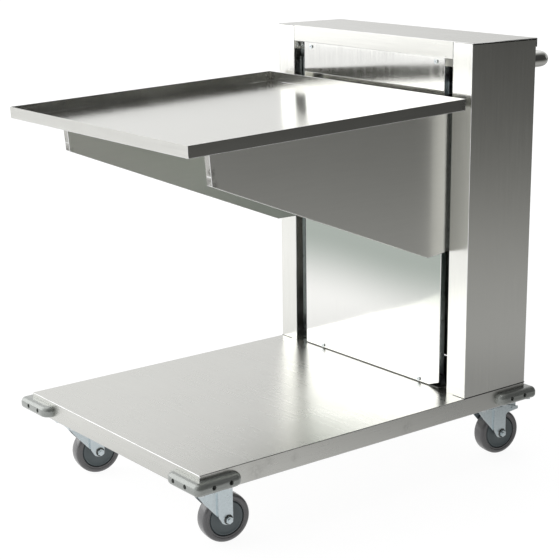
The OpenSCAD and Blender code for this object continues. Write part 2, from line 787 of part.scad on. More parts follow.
// Two lift springs of one side, plain: coil body, end rods and buttons
module springs(side) color(zinc) in_frame() for (x = spring_x) translate([side * x, spring_y, 0]) {
    top = hanger_z + hanger_t;
    foot = lower_beam_z + beam_w - beam_t;
    bar_z([0, 0, foot - spring_button_h], spring_button_r, spring_button_h);
    bar_z([0, 0, foot - eps], spring_wire, top - foot + 2 * eps);
    bar_z([0, 0, top], spring_button_r, spring_button_h);
    bar_z([0, 0, foot + spring_end_gap], spring_r, top - foot - 2 * spring_end_gap);
}

// Tray platform: pan with four rims, drooping a little to the front
module tray_platform() color(bright) in_frame()
    translate([0, platform_rear, platform_under]) rotate([platform_droop, 0, 0]) difference() {
        block([-platform_w / 2, -platform_d, 0], [platform_w / 2, 0, rim_h]);
        block([-platform_w / 2 + sheet, -platform_d + sheet, sheet],
            [platform_w / 2 - sheet, -sheet, rim_h + 1]);
    }

// Plan of an arm, drawn in X and Y for the right side; inset is the wall left out, with the rear end open
module arm_plan(inset) {
    polygon([
        [arm_in + inset, arm_front + inset], [arm_out - inset, arm_front + inset], [arm_out - inset, arm_bend],
        [tongue_out - inset, mast_front], [tongue_out - inset, tongue_rear + inset],
        [tongue_in + inset, tongue_rear + inset], [tongue_in + inset, mast_front], [arm_in + inset, arm_bend]
    ]);
}

// Side view of an arm, drawn in Y and Z; inset is the wall left out
module arm_side(inset) {
    y0 = arm_front + inset;
    y1 = tongue_rear + 5;
    foot = under_z(arm_front) - arm_front_h + inset;
    polygon([
        [y0, under_z(y0) - inset], [y1, under_z(y1) - inset],
        [y1, arm_foot_z + (y1 - arm_bend) * tan(platform_droop) + inset],
        [arm_bend - inset, arm_foot_z + inset], [y0 + arm_clip_d, foot], [y0, foot + arm_clip_h]
    ]);
}

// Solid form of an arm
module arm_form(inset) intersection() {
    translate([0, 0, deck_top]) linear_extrude(platform_h) arm_plan(inset);
    side_plate(0, half_w) arm_side(inset);
}

// Arm: hollow folded box that narrows towards its slot, with holes for the carriage bolts
module arm(side) color(steel) in_frame() scale([side, 1, 1]) difference() {
    arm_form(0);
    arm_form(sheet);
    for (y = arm_bolt_y, z = arm_bolt_z) bar_x([tongue_in - 1, y, z], arm_bolt_r + bolt_gap, arm_t + 2);
}

// Carriage plate beside an arm's tongue
module carriage_plate(side) color(zinc) in_frame() scale([side, 1, 1]) difference() {
    block([carriage_x, carriage_front, carriage_foot],
        [carriage_x + carriage_t, carriage_rear, carriage_top]);
    for (y = arm_bolt_y, z = arm_bolt_z)
        bar_x([carriage_x - 1, y, z], arm_bolt_r + bolt_gap, carriage_t + 2);
    for (z = roller_z) bar_x([carriage_x - 1, guide_y, z], roller_axle_r + running_gap, carriage_t + 2);
}

// Upper beam of the carriage: square tube
module carriage_upper_beam() color(zinc) in_frame() difference() {
    block([-carriage_x, upper_beam_y, upper_beam_z],
        [carriage_x, upper_beam_y + beam_w, upper_beam_z + beam_w]);
    block([-carriage_x - 1, upper_beam_y + beam_t, upper_beam_z + beam_t],
        [carriage_x + 1, upper_beam_y + beam_w - beam_t, upper_beam_z + beam_w - beam_t]);
}

// Lower beam of the carriage: channel open to the floor, which the springs pull on
module carriage_lower_beam() color(zinc) in_frame() difference() {
    block([-carriage_x, lower_beam_y, lower_beam_z],
        [carriage_x, lower_beam_y + beam_w, lower_beam_z + beam_w]);
    block([-carriage_x - 1, lower_beam_y + beam_t, lower_beam_z - 1],
        [carriage_x + 1, lower_beam_y + beam_w - beam_t, lower_beam_z + beam_w - beam_t]);
    for (sx = [left, right], x = spring_x)
        bar_z([sx * x, spring_y, lower_beam_z], spring_hole_r, beam_w + 1);
}

// Bolts and nuts that join the arms to the carriage
module arm_bolts() color(zinc) in_frame() for (sx = [left, right], y = arm_bolt_y, z = arm_bolt_z)
    scale([sx, 1, 1]) translate([tongue_in, y, z]) {
        rotate([0, -90, 0]) hexagon(plate_nut_r, plate_bolt_head_h);
        bar_x([-eps, 0, 0], arm_bolt_r, arm_t + carriage_t + plate_nut_h + bolt_tail);
        translate([arm_t + carriage_t, 0, 0]) rotate([0, 90, 0]) hexagon(plate_nut_r, plate_nut_h);
    }

// Fixed axles of the guide rollers
module roller_axles() color(zinc) in_frame() for (sx = [left, right], z = roller_z) scale([sx, 1, 1]) {
    shoulder_x = carriage_x + carriage_t;
    inner = roller_x - roller_w / 2 - move_gap;
    outer = roller_x + roller_w / 2 + move_gap;
    bar_x([carriage_x, guide_y, z], roller_axle_r, outer + roller_disc_t - carriage_x);
    bar_x([shoulder_x, guide_y, z], roller_axle_head, inner - shoulder_x);
    bar_x([outer, guide_y, z], roller_axle_head, roller_disc_t);
}

// Guide roller
module roller(side, z) color(bright) in_frame() scale([side, 1, 1])
    translate([roller_x, guide_y, z]) rotate([0, 90, 0]) rotate_extrude() difference() {
        bore = roller_axle_r + running_gap;
        translate([bore, -roller_w / 2]) square([roller_r - bore, roller_w]);
        for (sy = [-1, 1]) translate([roller_groove_r, sy * roller_w / 2])
            square([roller_groove_w, 2 * roller_groove_h], center = true);
    }

// Height of a cheek's slanting lower edge at a place along it
function flank_edge(y) = flank_waist[1]
    + (y - flank_waist[0]) * (cheek_foot[1] - flank_waist[1]) / (cheek_foot[0] - flank_waist[0]);

// Castor fork: crown with lower race, two cheeks that step inwards to a flank, and wings on a braked one
module fork(side, end) color(zinc) at_castor(side, end) {
    crown_foot = crown_top - plate_t;
    braked = end == rear;
    rear_y = castor_trail + cheek_foot_r;
    flank_rear = cheek_front + flank_lap;
    difference() {
        union() {
            bar_z([0, 0, crown_foot], crown_r, plate_t);
            block([-cheek_out, 0, crown_foot], [cheek_out, rear_y, crown_top]);
            block([-flank_out, flank_front, crown_foot], [flank_out, 1, crown_top]);
            bar_z([0, 0, crown_top - eps], race_r, race_h);
            for (sx = [left, right]) scale([sx, 1, 1]) {
                side_plate(flank_in, flank_out) polygon([
                    [flank_front, crown_top], flank_waist, [flank_rear, flank_edge(flank_rear)],
                    [flank_rear, crown_top]
                ]);
                side_plate(cheek_in, cheek_out) {
                    polygon([
                        [cheek_front, crown_top], [cheek_front, flank_edge(cheek_front)], cheek_foot,
                        [castor_trail, wheel_r], [rear_y, wheel_r], [rear_y, crown_top]
                    ]);
                    translate([castor_trail, wheel_r]) circle(cheek_foot_r);
                    if (braked) polygon([
                        [rear_y - 1, crown_top], [rear_y - 1, wing_foot - wing_step],
                        [rear_y + wing_step, wing_foot], [wing_reach, wing_tip[0]], [wing_reach, wing_tip[1]]
                    ]);
                }
            }
        }
        bar_z([0, 0, crown_foot - 1], kingpin_r + running_gap, plate_t + race_h + 2);
        bar_x([-cheek_out - 1, castor_trail, wheel_r], axle_bolt_r + running_gap, 2 * cheek_out + 2);
        if (braked)
            bar_x([-cheek_out - 1, pedal_pivot_y, pedal_pivot_z], pedal_pin_r + running_gap, 2 * cheek_out + 2);
    }
}

// Wheel axle: bolt with spacer sleeve, head and nut
module axle(side, end) color(zinc) at_castor(side, end) translate([0, castor_trail, wheel_r]) {
    sleeve = cheek_in - sleeve_gap;
    bar_x([-sleeve, 0, 0], axle_r, 2 * sleeve);
    bar_x([-cheek_out - eps, 0, 0], axle_bolt_r, 2 * cheek_out + axle_nut_h + bolt_tail);
    translate([-cheek_out, 0, 0]) rotate([0, -90, 0]) hexagon(axle_head_r, axle_head_h);
    translate([cheek_out, 0, 0]) rotate([0, 90, 0]) hexagon(axle_head_r, axle_nut_h);
}

// Wheel hub, drawn as radius and width and turned about the axle
module hub(side, end) color(hub_grey) at_castor(side, end)
    translate([0, castor_trail, wheel_r]) rotate([0, 90, 0]) rotate_extrude() {
        bore = axle_r + running_gap;
        face = wheel_w / 2 - hub_face;
        boss = cheek_in - move_gap;
        translate([bore, -boss]) square([hub_boss_t, 2 * boss]);
        translate([bore, -face]) square([tyre_inner_r - hub_groove - bore, 2 * face]);
        translate([bore, -face + hub_groove]) square([tyre_inner_r - hub_gap - bore, 2 * (face - hub_groove)]);
    }

// Tyre with round shoulders
module tyre(side, end) color(tyre_grey) at_castor(side, end)
    translate([0, castor_trail, wheel_r]) rotate([0, 90, 0]) rotate_extrude() {
        half = wheel_w / 2;
        tread = wheel_w - 2 * tyre_shoulder;
        translate([tyre_inner_r, -half]) square([wheel_r - tyre_shoulder - tyre_inner_r, wheel_w]);
        translate([tyre_inner_r, -tread / 2]) square([wheel_r - tyre_inner_r, tread]);
        for (s = [-1, 1]) translate([wheel_r - tyre_shoulder, s * tread / 2]) circle(tyre_shoulder);
    }

// Brake pedal of a rear castor: bent plate, lugs, pivot pin and brake shoe
module pedal(side) color(zinc) at_castor(side, rear) {
    side_plate(-pedal_half_w, pedal_half_w) polygon([
        [pedal_back_y, pedal_plate_z], [pedal_bend_y, pedal_plate_z],
        [pedal_crest_y, pedal_plate_z + pedal_crest], [pedal_reach, pedal_plate_z],
        [pedal_reach, pedal_plate_z + pedal_t], [pedal_crest_y, pedal_plate_z + pedal_crest + pedal_t],
        [pedal_bend_y - 1, pedal_plate_z + pedal_t], [pedal_back_y, pedal_plate_z + pedal_t]
    ]);
    for (sx = [left, right]) scale([sx, 1, 1]) side_plate(pedal_in - pedal_t, pedal_in) {
        translate([pedal_pivot_y, pedal_pivot_z]) circle(shoe_r);
        translate([pedal_pivot_y - shoe_r, pedal_pivot_z])
            square([pedal_lug_l, pedal_plate_z - pedal_pivot_z + eps]);
    }
    bar_x([-cheek_out - pin_end, pedal_pivot_y, pedal_pivot_z], pedal_pin_r, 2 * (cheek_out + pin_end));
    side_plate(-pedal_in + pedal_t - eps, pedal_in - pedal_t + eps) translate([pedal_pivot_y, pedal_pivot_z]) {
        circle(shoe_r);
        rotate(-shoe_nose_turn) translate([0, -shoe_nose]) circle(shoe_nose_r);
    }
}

deck_pan();
front_crossrail();
rear_crossrail();
deck_stiffeners();
castor_plates();
castor_bolts();
bumper(left, front);  // bumper_front_left
bumper(right, front);  // bumper_front_right
bumper(left, rear);  // bumper_rear_left
bumper(right, rear);  // bumper_rear_right
bumper_screws();
mast_side(left);  // mast_side_left
mast_side(right);  // mast_side_right
mast_cap();
front_panel();
front_crossbar();
rear_cover();
cover_screws();
guide_rail(left);  // guide_rail_left
guide_rail(right);  // guide_rail_right
spring_hanger();
mast_foot();
frame_bolts();
push_handle();
handle_sockets();
handle_screws();
rubber_buffers();
springs(left);  // springs_left
springs(right);  // springs_right
tray_platform();
arm(left);  // arm_left
arm(right);  // arm_right
carriage_plate(left);  // carriage_plate_left
carriage_plate(right);  // carriage_plate_right
carriage_upper_beam();
carriage_lower_beam();
arm_bolts();
roller_axles();
roller(left, roller_z[1]);  // roller_upper_left
roller(right, roller_z[1]);  // roller_upper_right
roller(left, roller_z[0]);  // roller_lower_left
roller(right, roller_z[0]);  // roller_lower_right
fork(left, front);  // fork_front_left
fork(right, front);  // fork_front_right
fork(left, rear);  // fork_rear_left
fork(right, rear);  // fork_rear_right
axle(left, front);  // axle_front_left
axle(right, front);  // axle_front_right
axle(left, rear);  // axle_rear_left
axle(right, rear);  // axle_rear_right
hub(left, front);  // hub_front_left
hub(right, front);  // hub_front_right
hub(left, rear);  // hub_rear_left
hub(right, rear);  // hub_rear_right
tyre(left, front);  // tyre_front_left
tyre(right, front);  // tyre_front_right
tyre(left, rear);  // tyre_rear_left
tyre(right, rear);  // tyre_rear_right
pedal(left);  // pedal_rear_left
pedal(right);  // pedal_rear_right
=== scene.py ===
"""Looks of a cantilever tray dispenser trolley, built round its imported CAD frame. Lengths are in metres."""

import logging
import math
import random
from dataclasses import dataclass
from enum import Enum
from typing import Callable, Sequence, Union

import bmesh
import bpy
from bmesh.types import BMEdge, BMesh, BMFace, BMVert
from bpy.types import ID, Material, Mesh, Node, NodeSocket, NodeTree, Object
from mathutils import Matrix, Vector


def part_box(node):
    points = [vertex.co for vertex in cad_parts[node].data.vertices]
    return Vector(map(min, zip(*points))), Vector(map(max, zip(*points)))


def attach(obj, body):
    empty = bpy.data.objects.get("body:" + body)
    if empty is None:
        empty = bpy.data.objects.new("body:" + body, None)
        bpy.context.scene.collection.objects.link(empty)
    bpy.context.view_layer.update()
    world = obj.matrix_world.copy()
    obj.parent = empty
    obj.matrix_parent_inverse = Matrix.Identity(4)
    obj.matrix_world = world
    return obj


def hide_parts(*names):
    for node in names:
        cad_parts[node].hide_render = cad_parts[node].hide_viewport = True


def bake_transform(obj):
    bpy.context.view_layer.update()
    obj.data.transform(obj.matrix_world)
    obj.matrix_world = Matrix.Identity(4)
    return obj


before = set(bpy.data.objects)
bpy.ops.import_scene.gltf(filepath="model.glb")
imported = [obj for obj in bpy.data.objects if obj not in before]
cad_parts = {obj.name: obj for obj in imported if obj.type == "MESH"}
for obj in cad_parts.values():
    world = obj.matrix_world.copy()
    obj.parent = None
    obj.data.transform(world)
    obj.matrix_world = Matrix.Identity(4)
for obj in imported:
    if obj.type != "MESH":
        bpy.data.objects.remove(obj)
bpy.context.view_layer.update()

LOG = logging.getLogger("trolley")
MM = 0.001
PHOTO_PX = 560

SAME_PLACE = 2e-6  # corners nearer than this are one
ONE_FACE = math.radians(0.6)  # faces that meet flatter than this are one
ONE_PLANE = math.radians(1)
SOFT_EDGE = math.radians(28)  # an edge flatter than this is shaded smooth
SHARP_EDGE = math.radians(32)  # a sharper one is eased, where no rule gives its radius
FLOOR_Z = -0.0002
DROOP = math.radians(2)  # the platform's fall to the front
RIPPLE = 1.6 * MM  # length of a weld bead's ripple
KINGPIN_X = 0.234
KINGPIN_Y = {"front": -0.3935, "rear": 0.3455}
WHITE = (1.0, 1.0, 1.0)


class Axis(Enum):
    """Directions of the row frame, as the index of their coordinate."""

    X = 0
    Y = 1
    Z = 2


class Slot(Enum):
    """Material slots of the record."""

    STAINLESS = "stainless"
    ZINC = "zinc"
    BUMPER = "bumper"
    TYRE = "tyre"
    HUB = "hub"
    BUFFER = "buffer"


class Side(Enum):
    """Left and right of the trolley, as the sign of X."""

    LEFT = -1
    RIGHT = 1

    @property
    def word(self) -> str:
        """The side's word in node names."""
        return self.name.lower()


Colour = tuple[float, float, float]
Section = list[tuple[float, float]]
Value = Union["Sock", int, float]


class Sock:
    """A shader socket that takes part in Python expressions on values."""

    def __init__(self, graph: "Graph", link: NodeSocket) -> None:
        """Keep the socket and the graph that it belongs to."""
        self.graph = graph
        self.link = link

    def maths(self, operation: str, *values: Value) -> "Sock":
        """Return the result of a Math node on these values."""
        return self.graph.node("ShaderNodeMath", {"operation": operation}, dict(enumerate(values)))[0]

    def __add__(self, other: Value) -> "Sock":
        """Add a value."""
        return self.maths("ADD", self, other)

    __radd__ = __add__

    def __sub__(self, other: Value) -> "Sock":
        """Take a value away."""
        return self.maths("SUBTRACT", self, other)

    def __rsub__(self, other: Value) -> "Sock":
        """Take this away from a value."""
        return self.maths("SUBTRACT", other, self)

    def __mul__(self, other: Value) -> "Sock":
        """Multiply by a value."""
        return self.maths("MULTIPLY", self, other)

    __rmul__ = __mul__

    def __truediv__(self, other: Value) -> "Sock":
        """Divide by a value."""
        return self.maths("DIVIDE", self, other)

    def __abs__(self) -> "Sock":
        """Return the size without its sign."""
        return self.maths("ABSOLUTE", self)

    def __gt__(self, other: Value) -> "Sock":
        """Return 1 where this is greater, else 0."""
        return self.maths("GREATER_THAN", self, other)

    def __lt__(self, other: Value) -> "Sock":
        """Return 1 where this is less, else 0."""
        return self.maths("LESS_THAN", self, other)

    def between(self, low: float, high: float, to_low: float = 0.0, to_high: float = 1.0) -> "Sock":
        """Carry the range from low to high smoothly to the range from to_low to to_high."""
        return self.graph.node("ShaderNodeMapRange", {"interpolation_type": "SMOOTHSTEP"},
                               {0: self, 1: low, 2: high, 3: to_low, 4: to_high})[0]

    def clipped(self) -> "Sock":
        """Hold the value between 0 and 1."""
        return self.graph.node("ShaderNodeClamp", {}, {0: self})[0]


class Made:
    """A node that was added to a graph; its outputs are read by name or index."""

    def __init__(self, graph: "Graph", node: Node) -> None:
        """Keep the node."""
        self.graph = graph
        self.node = node

    def __getitem__(self, output: Union[str, int]) -> Sock:
        """Return an output socket."""
        return Sock(self.graph, self.node.outputs[output])


class Graph:
    """A node tree that is filled by expressions and by one method for any node."""

    def __init__(self, tree: NodeTree) -> None:
        """Take over an empty tree."""
        self.tree = tree
        tree.nodes.clear()
        self.coordinates = None

    def node(self, kind: str, settings: dict | None = None, sockets: dict | None = None) -> Made:
        """Add a node of any type.

        Args:
            kind: The node's type name.
            settings: Its properties, which are set first; stops are a ramp's positions and colours.
            sockets: Values or links of its inputs, by name or index.

        Returns:
            The added node.
        """
        made = self.tree.nodes.new(kind)
        for name, value in (settings or {}).items():
            if name == "stops":
                stops = made.color_ramp.elements
                while len(stops) > 1:
                    stops.remove(stops[-1])
                stops[0].position = value[0][0]
                for stop, (_, colour) in zip([stops[0]] + [stops.new(at) for at, _ in value[1:]], value):
                    stop.color = (*colour, 1.0)
            else:
                setattr(made, name, value)
        for name, value in (sockets or {}).items():
            if isinstance(value, Sock):
                self.tree.links.new(value.link, made.inputs[name])
            else:
                made.inputs[name].default_value = value
        return Made(self, made)

    def place(self) -> Sock:
        """Return the surface's own coordinates, in metres."""
        if self.coordinates is None:
            self.coordinates = self.node("ShaderNodeTexCoord")
        return self.coordinates["Object"]

    def part(self, vector: Sock, axis: Axis) -> Sock:
        """Return one coordinate of a vector."""
        return self.node("ShaderNodeSeparateXYZ", {}, {0: vector})[axis.value]

    def stretched(self, vector: Sock, sizes: Sequence[float]) -> Sock:
        """Multiply a vector by a size along each axis."""
        return self.node("ShaderNodeVectorMath", {"operation": "MULTIPLY"}, {0: vector, 1: tuple(sizes)})[0]

    def distance(self, vector: Sock, point: Sequence[float]) -> Sock:
        """Return how far a vector is from a point."""
        return self.node("ShaderNodeVectorMath", {"operation": "DISTANCE"}, {0: vector, 1: tuple(point)})["Value"]

    def noise(self, vector: Sock, scale: float = 1.0, detail: float = 2.0, rough: float = 0.5) -> Sock:
        """Return soft noise from 0 to 1 at a scale in cycles a metre."""
        return self.node("ShaderNodeTexNoise", {}, {
            "Vector": vector, "Scale": scale, "Detail": detail, "Roughness": rough})[0]

    def ramp(self, stops: Sequence[tuple[float, Colour]], at: Sock) -> Sock:
        """Return a colour ramp's colour at a place from 0 to 1."""
        return self.node("ShaderNodeValToRGB", {"stops": stops}, {0: at})["Color"]

    def mixed(self, low: Union[Sock, Colour], high: Union[Sock, Colour], share: Sock) -> Sock:
        """Blend two colours: the first where the share is 0, the second where it is 1."""
        colours = [c if isinstance(c, Sock) else (*c, 1.0) for c in (low, high)]
        return self.node("ShaderNodeMix", {"data_type": "RGBA", "clamp_factor": True},
                         {0: share, 6: colours[0], 7: colours[1]})[2]

    def switched(self, first: Sock, second: Sock, share: Sock) -> Sock:
        """Blend two vectors by a share."""
        return self.node("ShaderNodeMix", {"data_type": "VECTOR"}, {0: share, 4: first, 5: second})[1]

    def relief(self, height: Sock, strength: float, depth: float, **over: Sock) -> Sock:
        """Return the normal of a relief of this depth in metres, which may lie over another Normal."""
        return self.node("ShaderNodeBump", {}, {"Height": height, "Strength": strength, "Distance": depth, **over})[0]


Sockets = dict[str, Union[Sock, Colour, float]]


def new_material(name: str) -> tuple[Material, Graph]:
    """Add an empty material.

    Args:
        name: The material's name.

    Returns:
        The material, and the graph of its nodes.
    """
    material = bpy.data.materials.new(name)
    material.use_nodes = True
    return material, Graph(material.node_tree)


def grey(level: float, warm: float = 0.0) -> Colour:
    """Return a grey, with a share of its blue taken away."""
    return (level, level, level * (1 - warm))


@dataclass(frozen=True)
class Smudge:
    """A grey mark left by welding and grinding: its middle, reach and depth of tone."""

    at: tuple[float, float, float]
    reach: float
    depth: float


@dataclass(frozen=True)
class Finish:
    """A named finish, which feeds one Principled shader."""

    name: str

    def sockets(self, graph: Graph) -> Sockets:
        """Return what each socket of the shader gets.

        Args:
            graph: The material's graph.

        Returns:
            The values and links of the shader's sockets, by name.
        """
        raise NotImplementedError

    def make(self) -> Material:
        """Build the material.

        Returns:
            The finished material.
        """
        material, graph = new_material(self.name)
        shader = graph.node("ShaderNodeBsdfPrincipled", {}, self.sockets(graph))
        graph.node("ShaderNodeOutputMaterial", {}, {"Surface": shader["BSDF"]})
        return material


@dataclass(frozen=True)
class BrushedSteel(Finish):
    """Stainless sheet with a brushed grain, faint clouds, smudges, a slight waviness and, where asked, a band of
    painted reflection.
    """

    grain: Axis = Axis.X
    turned: Axis = Axis.Y
    level: float = 0.84
    warm: float = 0.045
    roughness: float = 0.2
    streaks: float = 0.07
    clouds: float = 0.08
    brushing: float = 0.25
    waves: float = 0.3
    swell: float = 3.2
    swell_depth: float = 0.6 * MM
    smudges: tuple[Smudge, ...] = ()
    smudge_tone: Colour = (0.16, 0.15, 0.14)
    # painted reflection band: heights where it fades in, heights where it fades out, its tone and how far its edge
    # wanders
    film: tuple[float, float] | None = None
    film_top: tuple[float, float] = (0.77, 0.82)
    film_tone: Colour = (0.35, 0.39, 0.355)
    film_drift: float = 60 * MM

    fine: float = 1300.0
    broad: float = 190.0
    along: float = 9.0
    grain_depth: float = 0.04 * MM

    def lines(self, graph: Graph, across: float) -> Sock:
        """Return noise drawn out along the grain, which turns on faces square to it.

        Args:
            graph: The material's graph.
            across: Lines a metre across the grain.

        Returns:
            The streaks, from 0 to 1.
        """
        facing = abs(graph.part(graph.coordinates["Normal"], self.grain)) > 0.7
        ways = [graph.stretched(graph.place(), [self.along if axis is way else across for axis in Axis])
                for way in (self.grain, self.turned)]
        return graph.noise(graph.switched(*ways, facing), detail=3.0, rough=0.6)

    def sockets(self, graph: Graph) -> Sockets:
        """Return the values and links of the shader's sockets."""
        place = graph.place()
        fine, broad = self.lines(graph, self.fine), self.lines(graph, self.broad)
        cloud = graph.noise(place, 7.0, 4.0, 0.55)
        patch = graph.noise(place, 31.0, 3.0, 0.6)
        share = 0.5 + (broad - 0.5) * 0.9 + (cloud - 0.5) * 0.7
        colour = graph.mixed(grey(self.level * (1 - self.streaks), self.warm),
                             grey(self.level * (1 + self.streaks * 0.6), self.warm), share)
        rough = (self.roughness + (broad - 0.5) * 0.1 + (fine - 0.5) * 0.08
                 + (cloud - 0.5) * self.clouds + (patch - 0.5) * self.clouds * 0.5)
        # painted reflection: a darker greenish band across the sheet, fading in above the lower pair of heights and out
        # across the upper pair, stands in for reflected dark parts
        if self.film:
            drift = graph.noise(graph.stretched(place, (2.2, 2.2, 0.6)), 1.0, 1.0)
            height = graph.part(place, Axis.Z) + drift * self.film_drift
            painted_reflection = height.between(*self.film) * height.between(*self.film_top, 1.0, 0.0)
            colour = graph.mixed(colour, self.film_tone, painted_reflection * 0.95)
        for smudge in self.smudges:
            near = graph.distance(place, smudge.at).between(0.0, smudge.reach, 1.0, 0.0)
            mark = (near * graph.noise(place, 130.0, 4.0, 0.7).between(0.35, 0.62)) * smudge.depth
            colour = graph.mixed(colour, self.smudge_tone, mark)
            rough = rough + mark * 0.25
        swell = graph.relief(graph.noise(place, self.swell, 1.0, 0.4), self.waves, self.swell_depth)
        bump = graph.relief(fine * 0.7 + broad * 0.3, self.brushing, self.grain_depth, Normal=swell)
        return {"Base Color": colour, "Metallic": 1.0, "Roughness": rough.clipped(), "Normal": bump}


@dataclass(frozen=True)
class PolishedEdge(Finish):
    """Rubbed edges and folds of a sheet: smoother and lighter than its faces, with small nicks."""

    level: float = 0.8
    roughness: float = 0.16
    depth: float = 0.1 * MM

    def sockets(self, graph: Graph) -> Sockets:
        """Return the values and links of the shader's sockets."""
        nicks = graph.noise(graph.place(), 260.0, 4.0, 0.7)
        patches = graph.noise(graph.place(), 22.0, 3.0, 0.6)
        colour = graph.mixed(grey(self.level * 0.78, 0.01), grey(self.level), (patches + nicks * 0.5).between(0.5, 0.9))
        return {
            "Base Color": colour, "Metallic": 1.0,
            "Roughness": (self.roughness + (nicks - 0.5) * 0.25 + (patches - 0.5) * 0.1).clipped(),
            "Normal": graph.relief(nicks, 0.2, self.depth)}


@dataclass(frozen=True)
class WeldMetal(Finish):
    """Dressed weld: rippled, heat-tinted from straw to blue, with dark grinding marks."""

    depth: float = 0.4 * MM

    def sockets(self, graph: Graph) -> Sockets:
        """Return the values and links of the shader's sockets."""
        ripple = graph.noise(graph.place(), 420.0, 3.0, 0.6)
        heat = graph.noise(graph.place(), 90.0, 2.0, 0.5)
        tint = graph.ramp([(0.25, (0.20, 0.20, 0.21)), (0.45, (0.50, 0.47, 0.42)), (0.6, (0.62, 0.60, 0.56)),
                           (0.8, (0.40, 0.44, 0.50))], heat)
        return {
            "Base Color": tint, "Metallic": 1.0, "Roughness": (0.3 + ripple * 0.25).clipped(),
            "Normal": graph.relief(ripple, 0.7, self.depth)}


@dataclass(frozen=True)
class ZincPlate(Finish):
    """Bright zinc: bluish, with a faint crystal mottle, dull patches and rubbed scratches."""

    tone: Colour = (0.70, 0.78, 0.81)
    roughness: float = 0.3
    depth: float = 0.1 * MM

    def sockets(self, graph: Graph) -> Sockets:
        """Return the values and links of the shader's sockets."""
        place = graph.place()
        spangle = graph.node("ShaderNodeTexVoronoi", {"feature": "F1"}, {"Vector": place, "Scale": 210.0})["Distance"]
        dull = graph.noise(place, 45.0, 4.0, 0.6)
        scratch = graph.noise(graph.stretched(place, (900.0, 60.0, 900.0)), 1.0, 2.0, 0.6)
        dark = tuple(c * 0.84 for c in self.tone)
        light = tuple(min(1.0, c * 1.06) for c in self.tone)
        colour = graph.mixed(dark, light, (0.25 + dull * 0.6 + spangle * 0.5).clipped())
        rough = self.roughness + (dull - 0.5) * 0.2 + (scratch - 0.5) * 0.08
        return {
            "Base Color": colour, "Metallic": 0.92, "Roughness": rough.clipped(),
            "Normal": graph.relief(scratch * 0.5 + dull * 0.5, 0.15, self.depth)}


@dataclass(frozen=True)
class Moulding(Finish):
    """Moulded plastic or rubber: fine texture, soft tone changes, dust and scuffs."""

    tone: Colour
    dust: Colour
    roughness: float = 0.45
    texture: float = 1800.0
    texture_depth: float = 0.04 * MM
    dusting: float = 0.25
    scuffs: float = 0.3
    coat: float = 0.0
    metallic: float = 0.0

    def sockets(self, graph: Graph) -> Sockets:
        """Return the values and links of the shader's sockets."""
        place = graph.place()
        pebble = graph.noise(place, self.texture, 2.0, 0.5)
        drift = graph.noise(place, 24.0, 4.0, 0.6)
        scuff = graph.noise(graph.stretched(place, (260.0, 260.0, 1300.0)), 1.0, 3.0, 0.65)
        mark = scuff.between(0.62, 0.74) * self.scuffs
        settled = graph.part(graph.coordinates["Normal"], Axis.Z).between(0.2, 1.0) * self.dusting
        colour = graph.mixed(tuple(c * 0.88 for c in self.tone), tuple(c * 1.1 for c in self.tone), drift)
        colour = graph.mixed(colour, self.dust, (drift * settled + mark * 0.6).clipped())
        rough = self.roughness + (drift - 0.5) * 0.15 + mark * 0.3 + settled * 0.2
        return {
            "Base Color": colour, "Metallic": self.metallic, "Roughness": rough.clipped(),
            "Coat Weight": self.coat, "Coat Roughness": 0.15,
            "Normal": graph.relief(pebble * 0.8 + scuff * 0.2, 0.35, self.texture_depth)}


